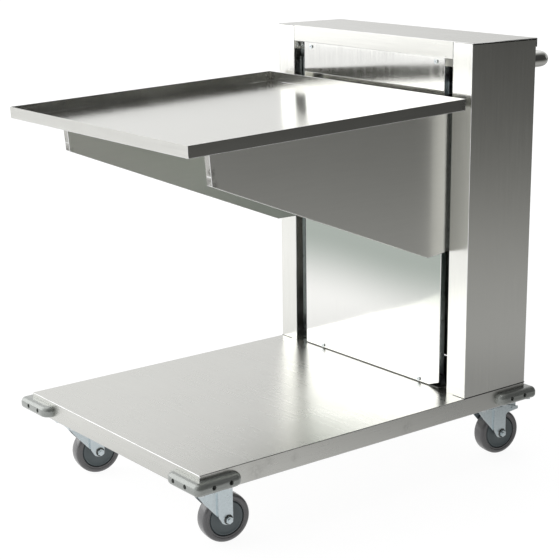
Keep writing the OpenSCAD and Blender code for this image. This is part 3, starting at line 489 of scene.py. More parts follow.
class Finishes:
    """The trolley's finishes, made once and shared."""

    def __init__(self) -> None:
        """Make every finish."""
        arm_marks = tuple(
            Smudge((side.value * x, -0.379, z), reach, 0.8)
            for side in Side for x, z, reach in ((0.256, 0.693, 0.02), (0.256, 0.717, 0.014), (0.243, 0.694, 0.014)))
        deck_marks = tuple(Smudge((0.311, y, z), reach, 0.2) for y, z, reach in (
            (-0.33, 0.155, 0.03), (-0.30, 0.166, 0.016), (-0.24, 0.160, 0.014), (0.05, 0.155, 0.02)))
        platform_marks = (Smudge((0.3155, 0.187, 0.790), 0.02, 0.6), Smudge((-0.314, 0.187, 0.795), 0.025, 0.5))
        self.deck = BrushedSteel("deck_sheet", roughness=0.29, level=0.73, smudges=deck_marks, waves=0.35).make()
        self.mast = BrushedSteel("mast_sheet", Axis.Z, Axis.X, roughness=0.22).make()
        self.cap = BrushedSteel("cap_sheet", level=0.7, roughness=0.24, streaks=0.1, clouds=0.12).make()
        # the front panel carries a painted reflection: a darker greenish band from about 0.32 m to 0.8 m high
        self.panel = BrushedSteel("panel_sheet", Axis.Z, Axis.X, level=0.9, warm=0.03, roughness=0.09, streaks=0.03,
                                  brushing=0.08, waves=1.0, swell=1.7, swell_depth=14 * MM, film=(0.32, 0.48)).make()
        self.platform = BrushedSteel("platform_sheet", level=0.77, roughness=0.18, clouds=0.1,
                                     smudges=platform_marks).make()
        self.arm = BrushedSteel("arm_sheet", Axis.Y, Axis.Z, roughness=0.33, streaks=0.04, clouds=0.06,
                                brushing=0.1, smudges=arm_marks).make()
        self.ground = BrushedSteel("ground_sheet", Axis.X, Axis.Z, level=0.5, roughness=0.5, streaks=0.12,
                                   clouds=0.2, smudges=arm_marks).make()
        self.rim = BrushedSteel("rim_sheet", Axis.Y, Axis.X, level=0.45, smudges=platform_marks).make()
        # painted shade: near-black zinc that stands in for the shadow in the gap under the front panel and in the
        # castors' axle recesses
        self.foot = ZincPlate("foot_plate", (0.16, 0.16, 0.15), 0.5).make()
        self.plain = BrushedSteel("frame_sheet", level=0.68, roughness=0.32).make()
        self.edge = PolishedEdge("sheet_edges").make()
        self.tube = BrushedSteel("tube_steel", roughness=0.14, brushing=0.3).make()
        self.weld = WeldMetal("dressed_weld").make()
        self.zinc = ZincPlate("zinc_plate").make()
        self.zinc_edge = ZincPlate("zinc_edges", (0.72, 0.76, 0.78), 0.22).make()
        self.dark_steel = ZincPlate("dark_screws", (0.09, 0.09, 0.09), 0.42).make()
        self.bumper = Moulding("bumper_plastic", (0.36, 0.38, 0.36), (0.47, 0.48, 0.46), 0.24, dusting=0.04,
                               scuffs=0.06, coat=0.8, metallic=0.42, texture_depth=0.004 * MM).make()
        self.tyre = Moulding("tyre_rubber", (0.135, 0.133, 0.138), (0.26, 0.25, 0.24), 0.3, 900.0, dusting=0.1,
                             coat=1.0, texture_depth=0.01 * MM).make()
        self.hub = Moulding("hub_plastic", (0.12, 0.148, 0.157), (0.24, 0.26, 0.25), 0.34, 1500.0, coat=0.2,
                            texture_depth=0.015 * MM).make()
        self.rubber = Moulding("stop_rubber", (0.022, 0.022, 0.022), (0.1, 0.1, 0.1), 0.6, 700.0).make()
        self.collar = Moulding("collar_plastic", (0.05, 0.055, 0.052), (0.16, 0.16, 0.15), 0.4).make()


def placed(name: str, data: ID) -> Object:
    """Put an object with this data in the scene.

    Args:
        name: The object's name.
        data: Its mesh, light or camera.

    Returns:
        The new object.
    """
    made = bpy.data.objects.new(name, data)
    bpy.context.scene.collection.objects.link(made)
    return made


def taken(work: BMesh, name: str) -> Mesh:
    """Turn a work mesh into a mesh with this name, and free it.

    Args:
        work: The work mesh.
        name: The mesh's name.

    Returns:
        The new mesh.
    """
    mesh = bpy.data.meshes.new(name)
    work.to_mesh(mesh)
    work.free()
    return mesh


def ease(piece: Object, width: float, by_weight: bool, segments: int = 3) -> None:
    """Round a piece's edges and even out its shading.

    Args:
        piece: The object to work on.
        width: Radius of a full-weight edge.
        by_weight: Round only the edges that carry a weight; else all sharp ones.
        segments: Steps of the rounding.
    """
    bevel = piece.modifiers.new("eased edges", "BEVEL")
    bevel.limit_method = "WEIGHT" if by_weight else "ANGLE"
    bevel.angle_limit = SHARP_EDGE
    bevel.width = width
    bevel.segments = segments
    bevel.use_clamp_overlap = not by_weight
    bevel.miter_outer = "MITER_SHARP"
    if len(piece.data.materials) > 1:
        bevel.material = 1
    normals = piece.modifiers.new("even shading", "WEIGHTED_NORMAL")
    normals.keep_sharp = True
    normals.weight = 80


@dataclass(frozen=True)
class FoldedSheet:
    """How the edges of folded sheet are eased: outer and inner fold radius, and its cut rims."""

    outer: float = 1.35 * MM
    inner: float = 0.7 * MM
    rim: float = 0.3 * MM
    sheet: float = 1.5 * MM
    shortest: float = 3.0 * MM
    folded: float = math.radians(25)

    def radius(self, edge: BMEdge) -> float:
        """Return the radius of an edge between two faces.

        Args:
            edge: The edge.

        Returns:
            Its radius, or 0 where it stays as it is.
        """
        if len(edge.link_faces) != 2 or edge.calc_face_angle(0.0) < self.folded:
            return 0.0
        widths = [2 * f.calc_area() / max(f.calc_perimeter(), 1e-9) for f in edge.link_faces]
        if min(widths) < self.sheet * 0.55:
            return 0.0
        if min(widths) < self.sheet * 1.15:
            return self.rim if edge.calc_length() > self.shortest else 0.0
        if edge.calc_length() < self.shortest:
            return 0.0
        return self.outer if edge.is_convex else self.inner


@dataclass(frozen=True)
class EvenEdges:
    """All sharp edges of a piece eased alike."""

    width: float = 0.5 * MM
    angle: float = 30.0
    shortest: float = 0.5 * MM

    def radius(self, edge: BMEdge) -> float:
        """Return the radius of an edge between two faces."""
        sharp = len(edge.link_faces) == 2 and edge.calc_face_angle(0.0) > math.radians(self.angle)
        return self.width if sharp and edge.calc_length() > self.shortest else 0.0


def merged_copy(node: str) -> BMesh:
    """Copy a CAD node's mesh with joined corners and whole flat faces, cut up only where they have holes.

    Args:
        node: The node's name.

    Returns:
        The copy, which the caller frees.
    """
    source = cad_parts[node].data
    mesh = bpy.data.meshes.new("work")
    mesh.from_pydata([v.co[:] for v in source.vertices], [], [p.vertices[:] for p in source.polygons])
    work = bmesh.new()
    work.from_mesh(mesh)
    bpy.data.meshes.remove(mesh)
    bmesh.ops.remove_doubles(work, verts=work.verts, dist=SAME_PLACE)
    bmesh.ops.dissolve_limit(work, angle_limit=ONE_FACE, verts=work.verts, edges=work.edges)
    bridged = [f for f in work.faces if any(e.calc_face_angle(math.pi) < ONE_PLANE for e in f.edges)]
    bmesh.ops.connect_verts_concave(work, faces=bridged)
    bmesh.ops.recalc_face_normals(work, faces=work.faces)
    return work


def ring_faces(work: BMesh, rings: Sequence[Sequence[BMVert]]) -> None:
    """Join closed rings of points with faces.

    Args:
        work: The mesh being built.
        rings: Rings with the same number of points.
    """
    for low, high in zip(rings, rings[1:]):
        for i in range(len(low)):
            j = (i + 1) % len(low)
            work.faces.new((low[i], low[j], high[j], high[i])).smooth = True


def turned(profile: Section, centre: Vector, axis: Vector,
           steps: int = 72) -> Mesh:
    """Turn a profile about an axis.

    Args:
        profile: Points of a ring's section, as distance along the axis and radius.
        centre: Where distance 0 lies.
        axis: Direction of the axis.
        steps: Steps round the axis.

    Returns:
        The turned mesh.
    """
    along = axis.normalized()
    side = along.orthogonal().normalized()
    up = along.cross(side)
    work = bmesh.new()
    rings = []
    for i in range(steps):
        angle = 2 * math.pi * i / steps
        out = side * math.cos(angle) + up * math.sin(angle)
        rings.append([work.verts.new(centre + along * a + out * r) for a, r in profile])
    rings.append(rings[0])
    ring_faces(work, rings)
    bmesh.ops.remove_doubles(work, verts=work.verts, dist=SAME_PLACE / 2)
    bmesh.ops.recalc_face_normals(work, faces=work.faces)
    return taken(work, "turned")


def swept(path: Sequence[Vector], radius: Callable[[int], float], steps: int) -> Mesh:
    """Sweep a round section along a path, with closed ends.

    Args:
        path: The centre line.
        radius: Gives the section's radius at each point of the path.
        steps: Points round the section.

    Returns:
        The swept mesh.
    """
    work = bmesh.new()
    rings = []
    side = (path[1] - path[0]).orthogonal().normalized()
    for i, point in enumerate(path):
        ahead = (path[min(i + 1, len(path) - 1)] - path[max(i - 1, 0)]).normalized()
        side = (side - ahead * side.dot(ahead)).normalized()
        up = ahead.cross(side)
        rings.append([
            work.verts.new(point + (side * math.cos(a) + up * math.sin(a)) * radius(i))
            for a in (2 * math.pi * k / steps for k in range(steps))])
    ring_faces(work, rings)
    for ring in (rings[0], rings[-1]):
        work.faces.new(ring)
    bmesh.ops.recalc_face_normals(work, faces=work.faces)
    return taken(work, "swept")


def weld_bead(start: Vector, end: Vector, width: float, seed: int) -> Mesh:
    """Lay a rippled weld bead along a line.

    Args:
        start: One end.
        end: The other end.
        width: Width of the bead.
        seed: Makes its ripples differ from another bead's.

    Returns:
        The bead's mesh.
    """
    chance = random.Random(seed)
    count = max(6, round((end - start).length / (RIPPLE / 3)))
    points = [start.lerp(end, i / count) for i in range(count + 1)]
    swell = [1 + 0.16 * math.cos(2 * math.pi * i / 3 + chance.random()) + chance.uniform(-0.08, 0.08)
             for i in range(count + 1)]
    taper = [min(1.0, 0.35 + 0.35 * min(i, count - i)) for i in range(count + 1)]
    return swept(points, lambda i: width / 2 * swell[i] * taper[i], 10)


def joined(meshes: Sequence[Mesh], name: str) -> Mesh:
    """Put several meshes into one and remove them.

    Args:
        meshes: The meshes.
        name: The new mesh's name.

    Returns:
        The new mesh.
    """
    work = bmesh.new()
    for mesh in meshes:
        work.from_mesh(mesh)
        bpy.data.meshes.remove(mesh)
    return taken(work, name)


def stitch_ends(start: float, end: float, length: float, pitch: float) -> list[tuple[float, float]]:
    """Share stitch welds out along a joint.

    Args:
        start: Where the first stitch begins.
        end: Where the last one has to end.
        length: Length of a stitch.
        pitch: From one stitch to the next.

    Returns:
        Where each stitch begins and ends.
    """
    ends = []
    while start + length < end:
        ends.append((start, start + length))
        start += pitch
    return ends


@dataclass
class SubAssembly:
    """A named group of pieces that is built in one go."""

    finishes: Finishes

    def build(self) -> None:
        """Make and dress the pieces."""
        raise NotImplementedError

    def report(self, piece: str) -> None:
        """Log a finished piece."""
        LOG.info("%s: %s", type(self).__name__, piece)

    def add(self, name: str, mesh: Mesh, finishes: Sequence[Material],
            slot: Slot = Slot.STAINLESS, body: str = "chassis", node: str = "") -> Object:
        """Add a mesh as a piece of the trolley.

        Args:
            name: The piece's name.
            mesh: Its mesh, in the row frame.
            finishes: Its materials, by the mesh's material indices.
            slot: Not used.
            body: The CAD body that it rides on.
            node: The CAD node that it replaces, if there is one.

        Returns:
            The new object.
        """
        piece = placed(name, mesh)
        for finish in finishes:
            mesh.materials.append(finish)
        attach(piece, body)
        if node:
            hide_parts(node)
        self.report(name)
        return piece

    def stand_in(self, node: str, finishes: Sequence[Material], rule: Union[FoldedSheet, EvenEdges],
                 slot: Slot = Slot.STAINLESS, body: str = "chassis", segments: int = 3,
                 third: Callable[[BMFace], bool] | None = None,
                 formed: Callable[[BMesh], None] | None = None) -> None:
        """Stand a copy with rounded folds and edges in a CAD node's place.

        Args:
            node: The node that the piece replaces.
            finishes: The finish of its faces, and of its eased edges if there is a second.
            rule: Gives each edge's radius.
            slot: Its record slot.
            body: The body that it rides on.
            segments: Steps of the rounding.
            third: Tells which faces take the third finish.
            formed: Works finer forms into the copy before its edges are eased.
        """
        work = merged_copy(node)
        if formed:
            formed(work)
        weights = work.edges.layers.float.new("bevel_weight_edge")
        radii = {edge: rule.radius(edge) for edge in work.edges}
        widest = max(radii.values())
        for edge, radius in radii.items():
            edge[weights] = radius / widest
            if len(edge.link_faces) == 2:
                edge.smooth = radius > 0 or edge.calc_face_angle(0.0) < SOFT_EDGE
        for face in work.faces:
            face.smooth = True
            face.material_index = 2 if third and third(face) else 0
        piece = self.add(node + "_eased", taken(work, node + "_eased"), finishes, slot, body, node)
        ease(piece, widest, True, segments)

    def dress(self, nodes: Sequence[str], finishes: Sequence[Material], width: float = 0.4 * MM) -> None:
        """Give CAD nodes their finish and slightly rounded edges, through modifiers alone.

        Args:
            nodes: The nodes' names.
            finishes: The finish of their faces, and of their eased edges if there is a second.
            width: Radius of their edges.
        """
        for node in nodes:
            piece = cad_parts[node]
            piece.data.materials.clear()
            for finish in finishes:
                piece.data.materials.append(finish)
            piece.data.polygons.foreach_set("material_index", [0] * len(piece.data.polygons))
            piece.data.polygons.foreach_set("use_smooth", [True] * len(piece.data.polygons))
            weld = piece.modifiers.new("joined corners", "WELD")
            weld.merge_threshold = SAME_PLACE
            ease(piece, width, False, 2)
            self.report(node)


@dataclass
class Deck(SubAssembly):
    """Folded deck pan with its cross rails, stiffeners and stitch welds."""

    stiffener_w: float = 40 * MM
    rail_clear: float = 30 * MM
    stiffener_clear: float = 40 * MM
    far_clear: float = 20 * MM
    stitch: float = 28 * MM
    stitch_pitch: float = 95 * MM
    bead: float = 3.2 * MM
    bead_sunk: float = 1.2 * MM

    def build(self) -> None:
        """Make and dress the pieces."""
        f = self.finishes
        self.stand_in("deck_pan", (f.deck, f.edge), FoldedSheet())
        thick = FoldedSheet(outer=2.8 * MM, inner=0.8 * MM, sheet=2 * MM)
        for node in ("front_crossrail", "rear_crossrail", "deck_stiffeners"):
            self.stand_in(node, (f.plain, f.edge), thick, segments=2)
        self.add("deck_stitch_welds", joined(self.stitches(), "deck_stitch_welds"), (f.weld,))

    def stitches(self) -> list[Mesh]:
        """Lay the stitch welds that join rails and stiffeners to the deck's underside.

        Returns:
            The beads' meshes.
        """
        beads = []
        for node in ("front_crossrail", "rear_crossrail"):
            low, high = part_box(node)
            ends = stitch_ends(low.x + self.rail_clear, high.x - self.far_clear, self.stitch, self.stitch_pitch)
            z = high.z - self.bead_sunk
            beads += [(Vector((a, y, z)), Vector((b, y, z))) for y in (low.y, high.y) for a, b in ends]
        low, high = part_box("deck_stiffeners")
        width, z = self.stiffener_w, high.z - self.bead_sunk
        ends = stitch_ends(low.y + self.stiffener_clear, high.y - self.far_clear, self.stitch, self.stitch_pitch)
        beads += [(Vector((x, a, z)), Vector((x, b, z)))
                  for x in (low.x, low.x + width, high.x - width, high.x) for a, b in ends]
        return [weld_bead(a, b, self.bead, i) for i, (a, b) in enumerate(beads)]


@dataclass
class Bumpers(SubAssembly):
    """Moulded corner bumpers with their countersunk wells and dark screws."""

    well_edge: float = 0.35 * MM

    def build(self) -> None:
        """Make and dress the pieces."""
        f = self.finishes
        for end in KINGPIN_Y:
            for side in Side:
                self.stand_in(f"bumper_{end}_{side.word}", (f.bumper,), EvenEdges(self.well_edge, 26.0), Slot.BUMPER)
        self.dress(["bumper_screws"], (f.dark_steel,), 0.2 * MM)


@dataclass
class Castor(SubAssembly):
    """One swivel castor: pressed fork, axle, dished hub, tyre, and a brake pedal where it has one."""

    end: str = "front"
    side: Side = Side.LEFT
    turn: float = math.radians(-9)
    trail: float = 35 * MM
    wheel_r: float = 50 * MM
    half_w: float = 16 * MM
    tyre_inner: float = 36.5 * MM
    crown: float = 0.5 * MM
    shoulder_r: float = 6.4 * MM
    boss: float = 18.5 * MM
    bore: float = 6.06 * MM
    cheek_out: float = 22 * MM
    flank_out: float = 19.7 * MM
    fold: float = 14.8 * MM
    press: float = 2.2 * MM
    flank_cuts: tuple[float, ...] = (-16 * MM, -8 * MM, -2 * MM, 3 * MM, 7 * MM, 10 * MM, 12 * MM, 13.6 * MM)
    axle_zone: float = 8 * MM
    foot_spread: float = 0.42

    @property
    def kingpin(self) -> tuple[float, float]:
        """Place of the swivel axis on the floor."""
        return self.side.value * KINGPIN_X, KINGPIN_Y[self.end]

    @property
    def word(self) -> str:
        """The castor's word in node names."""
        return f"{self.end}_{self.side.word}"

    @property
    def centre(self) -> Vector:
        """Middle of the wheel."""
        return Vector((self.kingpin[0] - self.trail * math.sin(self.turn),
                       self.kingpin[1] + self.trail * math.cos(self.turn), self.wheel_r))

    @property
    def axis(self) -> Vector:
        """Direction of the wheel's axle."""
        return Vector((math.cos(self.turn), math.sin(self.turn), 0.0))

    def build(self) -> None:
        """Make and dress the pieces."""
        f = self.finishes
        wheel, fork = "wheel_" + self.word, "castor_" + self.word
        for part, profile, finish, slot in (("tyre_", self.tyre_profile(), f.tyre, Slot.TYRE),
                                            ("hub_", self.hub_profile(), f.hub, Slot.HUB)):
            self.add(part + self.word + "_turned", turned(profile, self.centre, self.axis, 112), (finish,), slot,
                     wheel, part + self.word)
        self.stand_in("fork_" + self.word, (f.zinc, f.zinc_edge), EvenEdges(0.6 * MM, 28.0), Slot.ZINC, fork,
                      formed=self.press_fork)
        # the seats carry painted shade: a near-black ring stands in for the shadow in the recess under each axle head
        for part, profile, finish in (("washers_", self.washer_profile(), f.zinc_edge),
                                      ("seats_", self.seat_profile(), f.foot)):
            rings = joined([turned(profile, self.centre, self.axis * side.value, 48) for side in Side], part)
            self.add(part + self.word, rings, (finish,), Slot.ZINC, fork)
        parts = ("axle_", "pedal_") if self.end == "rear" else ("axle_",)
        self.dress([part + self.word for part in parts], (f.zinc, f.zinc_edge), 0.5 * MM)

    def press_fork(self, work: BMesh) -> None:
        """Press each cheek's flank in towards its fold, and broaden the cheek's foot.

        Args:
            work: The fork's mesh, in the row frame.
        """
        ahead = Vector((-math.sin(self.turn), math.cos(self.turn), 0.0))
        pin = Vector((*self.kingpin, 0.0))
        flank = [f for f in work.faces if abs(f.normal.dot(self.axis)) > 0.99
                 and abs(abs((f.calc_center_median() - pin).dot(self.axis)) - self.flank_out) < 0.3 * MM]
        for at in self.flank_cuts:
            parts = dict.fromkeys(part for face in flank for part in (*face.verts, *face.edges, face))
            done = bmesh.ops.bisect_plane(work, geom=list(parts), dist=SAME_PLACE / 2, plane_co=pin + ahead * at,
                                          plane_no=ahead)
            flank = [g for g in done["geom"] if isinstance(g, BMFace)]
        for vertex in {v for f in flank for v in f.verts}:
            share = ((vertex.co - pin).dot(ahead) - self.flank_cuts[0]) / (self.fold - self.flank_cuts[0])
            if 0 < share < 1.01:
                side = math.copysign(1.0, (vertex.co - pin).dot(self.axis))
                vertex.co -= self.axis * side * self.press * share ** 6
        for vertex in work.verts:
            along, high = (vertex.co - self.centre).dot(ahead), vertex.co.z - self.wheel_r
            if high < 0.2 * MM and along < 0 and math.hypot(along, high) > self.axle_zone:
                vertex.co += ahead * along * self.foot_spread

    def tyre_profile(self) -> Section:
        """Return the tyre's section: crowned tread, round shoulders and a ring on each wall.

        Returns:
            Points as distance along the axle and radius.
        """
        r, w, shoulder = self.wheel_r, self.half_w, self.shoulder_r
        half = [(0.0, r), (w * 0.4, r - 0.12 * MM)]
        for i in range(9):
            a = math.radians(90 - i * 90 / 8)
            half.append((w - shoulder + shoulder * math.cos(a), r - self.crown - shoulder + shoulder * math.sin(a)))
        half += [(w - a * MM, self.tyre_inner + b * MM) for a, b in (
            (0.1, 3.4), (0.6, 2.9), (0.7, 2.2), (0.2, 1.6), (0.3, 0.4), (0.9, 0.0))]
        return half + [(-a, b) for a, b in reversed(half[1:])]

    def hub_profile(self) -> Section:
        """Return the hub's section: groove beside the tyre, raised ring, dished web and boss.

        Returns:
            Points as distance along the axle and radius.
        """
        face, rim = self.half_w - 0.9 * MM, self.tyre_inner - 2.5 * MM
        half = [(face - 2.5 * MM, self.tyre_inner - 0.05 * MM)]
        half += [(face - a * MM, rim - b * MM) for a, b in (
            (2.5, -0.2), (0.5, 0.0), (0.05, 0.5), (0.0, 1.6), (0.5, 3.0), (1.3, 6.0), (1.8, 11.0))]
        half += [(face - a * MM, r * MM) for a, r in ((1.8, 16), (1.2, 13), (-0.5, 11.6))]
        half += [(self.boss - 0.5 * MM, 11 * MM), (self.boss, 10.5 * MM), (self.boss, self.bore)]
        return half + [(-a, b) for a, b in reversed(half)]

    def washer_profile(self) -> Section:
        """Return the section of the raised lip round the recess that the axle's head sits in."""
        return [(self.cheek_out + a * MM, r * MM) for a, r in (
            (0.1, 9.3), (1.0, 9.5), (1.1, 9.8), (0.7, 10.2), (-0.3, 10.5), (-0.3, 9.3))]

    def seat_profile(self) -> Section:
        """Return the section of the shaded seat under the axle's head."""
        return [(self.cheek_out + a * MM, r * MM) for a, r in ((0.15, 9.4), (-0.3, 9.4), (-0.3, 4.2), (0.15, 4.2))]


@dataclass
class Mast(SubAssembly):
    """Hollow mast: casings, cap, front panel, crossbar, rear cover, foot plate and their screws."""

    strip_w: float = 35 * MM
    # radii of the painted shadow strip along the casing's side and along its front strip
    seam_side: float = 1.1 * MM
    seam_front: float = 0.8 * MM

    def build(self) -> None:
        """Make and dress the pieces."""
        f = self.finishes
        for side in Side:
            self.stand_in("mast_side_" + side.word, (f.mast, f.edge), FoldedSheet())
            # painted shadow: a thin black rubber strip stands in for the shadow line at the casing's foot
            self.add("foot_seam_" + side.word, self.seam(side), (f.rubber,), Slot.BUFFER)
        for node, finish, rule in (("mast_cap", f.cap, FoldedSheet(outer=1.2 * MM, inner=0.3 * MM)),
                                   ("front_panel", f.panel, FoldedSheet()),
                                   ("rear_cover", f.mast, EvenEdges(0.4 * MM))):
            self.stand_in(node, (finish, f.edge), rule)
        self.dress(["front_crossbar"], (f.plain, f.edge))
        # painted shade: the foot plate is near-black, standing in for the shadow in the gap under the front panel
        self.dress(["mast_foot"], (f.foot, f.foot))
        self.dress(["cover_screws", "frame_bolts", "castor_bolts"], (f.zinc_edge,), 0.35 * MM)
        self.dress(["castor_plates"], (f.zinc, f.zinc_edge), 0.6 * MM)

    def seam(self, side: Side) -> Mesh:
        """Lay a thin dark strip of painted shadow where a casing's foot meets the deck, along its side and its front
        strip.

        Args:
            side: Which casing.

        Returns:
            The painted shadow strip's mesh.
        """
        low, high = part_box("mast_side_" + side.word)
        outer, inward = (low.x, self.strip_w) if side is Side.LEFT else (high.x, -self.strip_w)
        near, far, inner = (Vector((x, y, low.z)) for x, y in (
            (outer, low.y), (outer, high.y), (outer + inward, low.y)))
        return joined([swept([near, far], lambda i: self.seam_side, 16),
                       swept([near, inner], lambda i: self.seam_front, 16)], "foot_seam")


@dataclass
class PushHandle(SubAssembly):
    """Bent push handle tube with its two collars and their screws."""

    tube_r: float = 15 * MM
    leg_x: float = 278 * MM
    bend_r: float = 40 * MM
    collar_t: float = 6 * MM
    collar_w: float = 12 * MM
    screw_ring: float = 21.5 * MM
    screw_angles: tuple[float, ...] = (90.0, 210.0, 330.0)
    dip_r: float = 5 * MM
    dip: float = 0.15 * MM

    def build(self) -> None:
        """Make and dress the pieces."""
        f = self.finishes
        low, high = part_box("push_handle")
        grip_y = high.y - self.tube_r
        z = (low.z + high.z) / 2
        self.add("push_handle_tube", swept(self.path(low.y, grip_y, z), lambda i: self.tube_r, 56), (f.tube,),
                 node="push_handle")
        collars = []
        for side in Side:
            middle = Vector((side.value * self.leg_x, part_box("handle_sockets")[0].y, z))
            collars.append(turned(self.collar_profile(), middle, Vector((0, 1, 0))))
            self.dimple(collars[-1], side, z)
        self.add("handle_collars", joined(collars, "handle_collars"), (f.collar,), Slot.BUMPER, node="handle_sockets")
        self.dress(["handle_screws"], (f.zinc_edge,), 0.3 * MM)

    def path(self, foot: float, grip: float, z: float) -> list[Vector]:
        """Return the tube's centre line.

        Args:
            foot: Y of the tube's ends.
            grip: Y of its grip.
            z: Its height.

        Returns:
            Points from the left end to the right end.
        """
        bend = [(self.leg_x - self.bend_r * (1 - math.cos(a)), grip - self.bend_r * (1 - math.sin(a)))
                for a in (math.radians(7.5 * i) for i in range(13))]
        right = [Vector((self.leg_x, foot, z)), Vector((self.leg_x, (foot + grip - self.bend_r) / 2, z))]
        right += [Vector((x, y, z)) for x, y in bend]
        left = [Vector((-p.x, p.y, p.z)) for p in right]
        middle = [Vector((x, grip, z)) for x in (-0.15, -0.08, 0.0, 0.08, 0.15)]
        return left + middle + right[::-1]

    def collar_profile(self) -> Section:
        """Return the collar's section: stepped flange with a rounded lip against the tube."""
        inner, outer, t = self.tube_r + 0.1 * MM, self.tube_r + self.collar_w, self.collar_t
        return [(0.0, inner), (0.0, outer), (t - 2.2 * MM, outer), (t - 0.9 * MM, outer - 0.5 * MM),
                (t - 0.2 * MM, outer - 1.7 * MM), (t, outer - 3 * MM), (t, inner + 1.5 * MM), (t - 0.5 * MM, inner)]

    def dimple(self, mesh: Mesh, side: Side, z: float) -> None:
        """Sink a collar's face a little round each screw.

        Args:
            mesh: The collar's mesh.
            side: Which collar.
            z: Height of its middle.
        """
        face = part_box("handle_sockets")[1].y - 0.3 * MM
        for angle in map(math.radians, self.screw_angles):
            x = side.value * (self.leg_x + self.screw_ring * math.cos(angle))
            high = z + self.screw_ring * math.sin(angle)
            for vertex in mesh.vertices:
                near = math.hypot(vertex.co.x - x, vertex.co.z - high)
                if near < self.dip_r and vertex.co.y > face:
                    vertex.co.y -= self.dip * (1 - near / self.dip_r)


@dataclass
class Platform(SubAssembly):
    """Rimmed tray platform with dressed welds in its corners."""

    length: float = 655 * MM
    rim_h: float = 23 * MM
    bead: float = 1.6 * MM
    bead_inset: float = 2.2 * MM
    bead_foot: float = 2.4 * MM
    bead_h: float = 19 * MM

    def build(self) -> None:
        """Make and dress the pieces."""
        f = self.finishes
        self.stand_in("tray_platform", (f.platform, f.edge, f.rim), FoldedSheet(1.4 * MM, 0.5 * MM, 0.4 * MM),
                      body="lift", third=self.outside)
        self.add("platform_corner_welds", joined(self.corner_beads(), "platform_corner_welds"), (f.weld,), body="lift")

    def outside(self, face: BMFace) -> bool:
        """Tell whether a face is the outside of the left or right rim."""
        return abs(face.normal.x) > 0.8 and face.normal.x * face.calc_center_median().x > 0

    def corner_beads(self) -> list[Mesh]:
        """Lay a thin bead inside each corner of the rims.

        Returns:
            The beads' meshes.
        """
        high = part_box("tray_platform")[1]
        up = Vector((0, -math.sin(DROOP), math.cos(DROOP)))
        ahead = Vector((0, -math.cos(DROOP), -math.sin(DROOP)))
        rear_foot = Vector((0, high.y, high.z)) - up * self.rim_h
        beads = []
        for side in Side:
            for depth in (self.bead_inset, self.length - self.bead_inset):
                foot = rear_foot + ahead * depth + up * self.bead_foot
                foot.x = side.value * (high.x - self.bead_inset)
                beads.append(weld_bead(foot, foot + up * self.bead_h, self.bead, len(beads)))
        return beads


@dataclass
class Arms(SubAssembly):
    """Hollow wedge arms with stitch welds under the platform and a dressed front corner."""

    front_lean: float = 6 * MM
    front_depth: float = 12 * MM
    clip: tuple[float, float] = (8 * MM, 17 * MM)
    seat_z: float = 0.781
    stitch: float = 30 * MM
    stitch_pitch: float = 110 * MM
    stitch_from: float = 45 * MM
    stitch_end_y: float = 0.15
    bead: float = 3.0 * MM
    bead_inset: float = 16 * MM
    bead_sunk: float = 1.0 * MM
    first_seed: int = 40

    def build(self) -> None:
        """Make and dress the pieces."""
        f = self.finishes
        for side in Side:
            self.stand_in("arm_" + side.word, (f.arm, f.edge, f.ground), FoldedSheet(outer=1.2 * MM, inner=0.3 * MM),
                          body="lift", third=lambda face: face.normal.y < -0.8, formed=self.lean)
        self.add("arm_stitch_welds", joined(self.stitches(), "arm_stitch_welds"), (f.weld,), body="lift")

    def lean(self, work: BMesh) -> None:
        """Lean an arm's front evenly back down to its lower corner, in place of a clipped corner.

        Args:
            work: The arm's mesh, in the row frame.
        """
        near = min(v.co.y for v in work.verts)
        tip = [v for v in work.verts if v.co.y < near + self.front_depth]
        low, high = min(v.co.z for v in tip), max(v.co.z for v in tip)
        for vertex in tip:
            clipped = self.clip[0] * max(0.0, 1 - (vertex.co.z - low) / self.clip[1])
            vertex.co.y += self.front_lean * (high - vertex.co.z) / (high - low) - clipped

    def stitches(self) -> list[Mesh]:
        """Lay stitch welds along the arms' inner upper edges, against the platform's underside.

        Returns:
            The beads' meshes.
        """
        low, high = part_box("arm_right")
        rear_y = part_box("tray_platform")[1].y
        ends = stitch_ends(low.y + self.stitch_from, self.stitch_end_y, self.stitch, self.stitch_pitch)
        beads = []
        for side in Side:
            x = side.value * (high.x - self.bead_inset)
            for pair in ends:
                a, b = (Vector((x, y, self.seat_z - (rear_y - y) * math.tan(DROOP) - self.bead_sunk)) for y in pair)
                beads.append(weld_bead(a, b, self.bead, self.first_seed + len(beads)))
        return beads


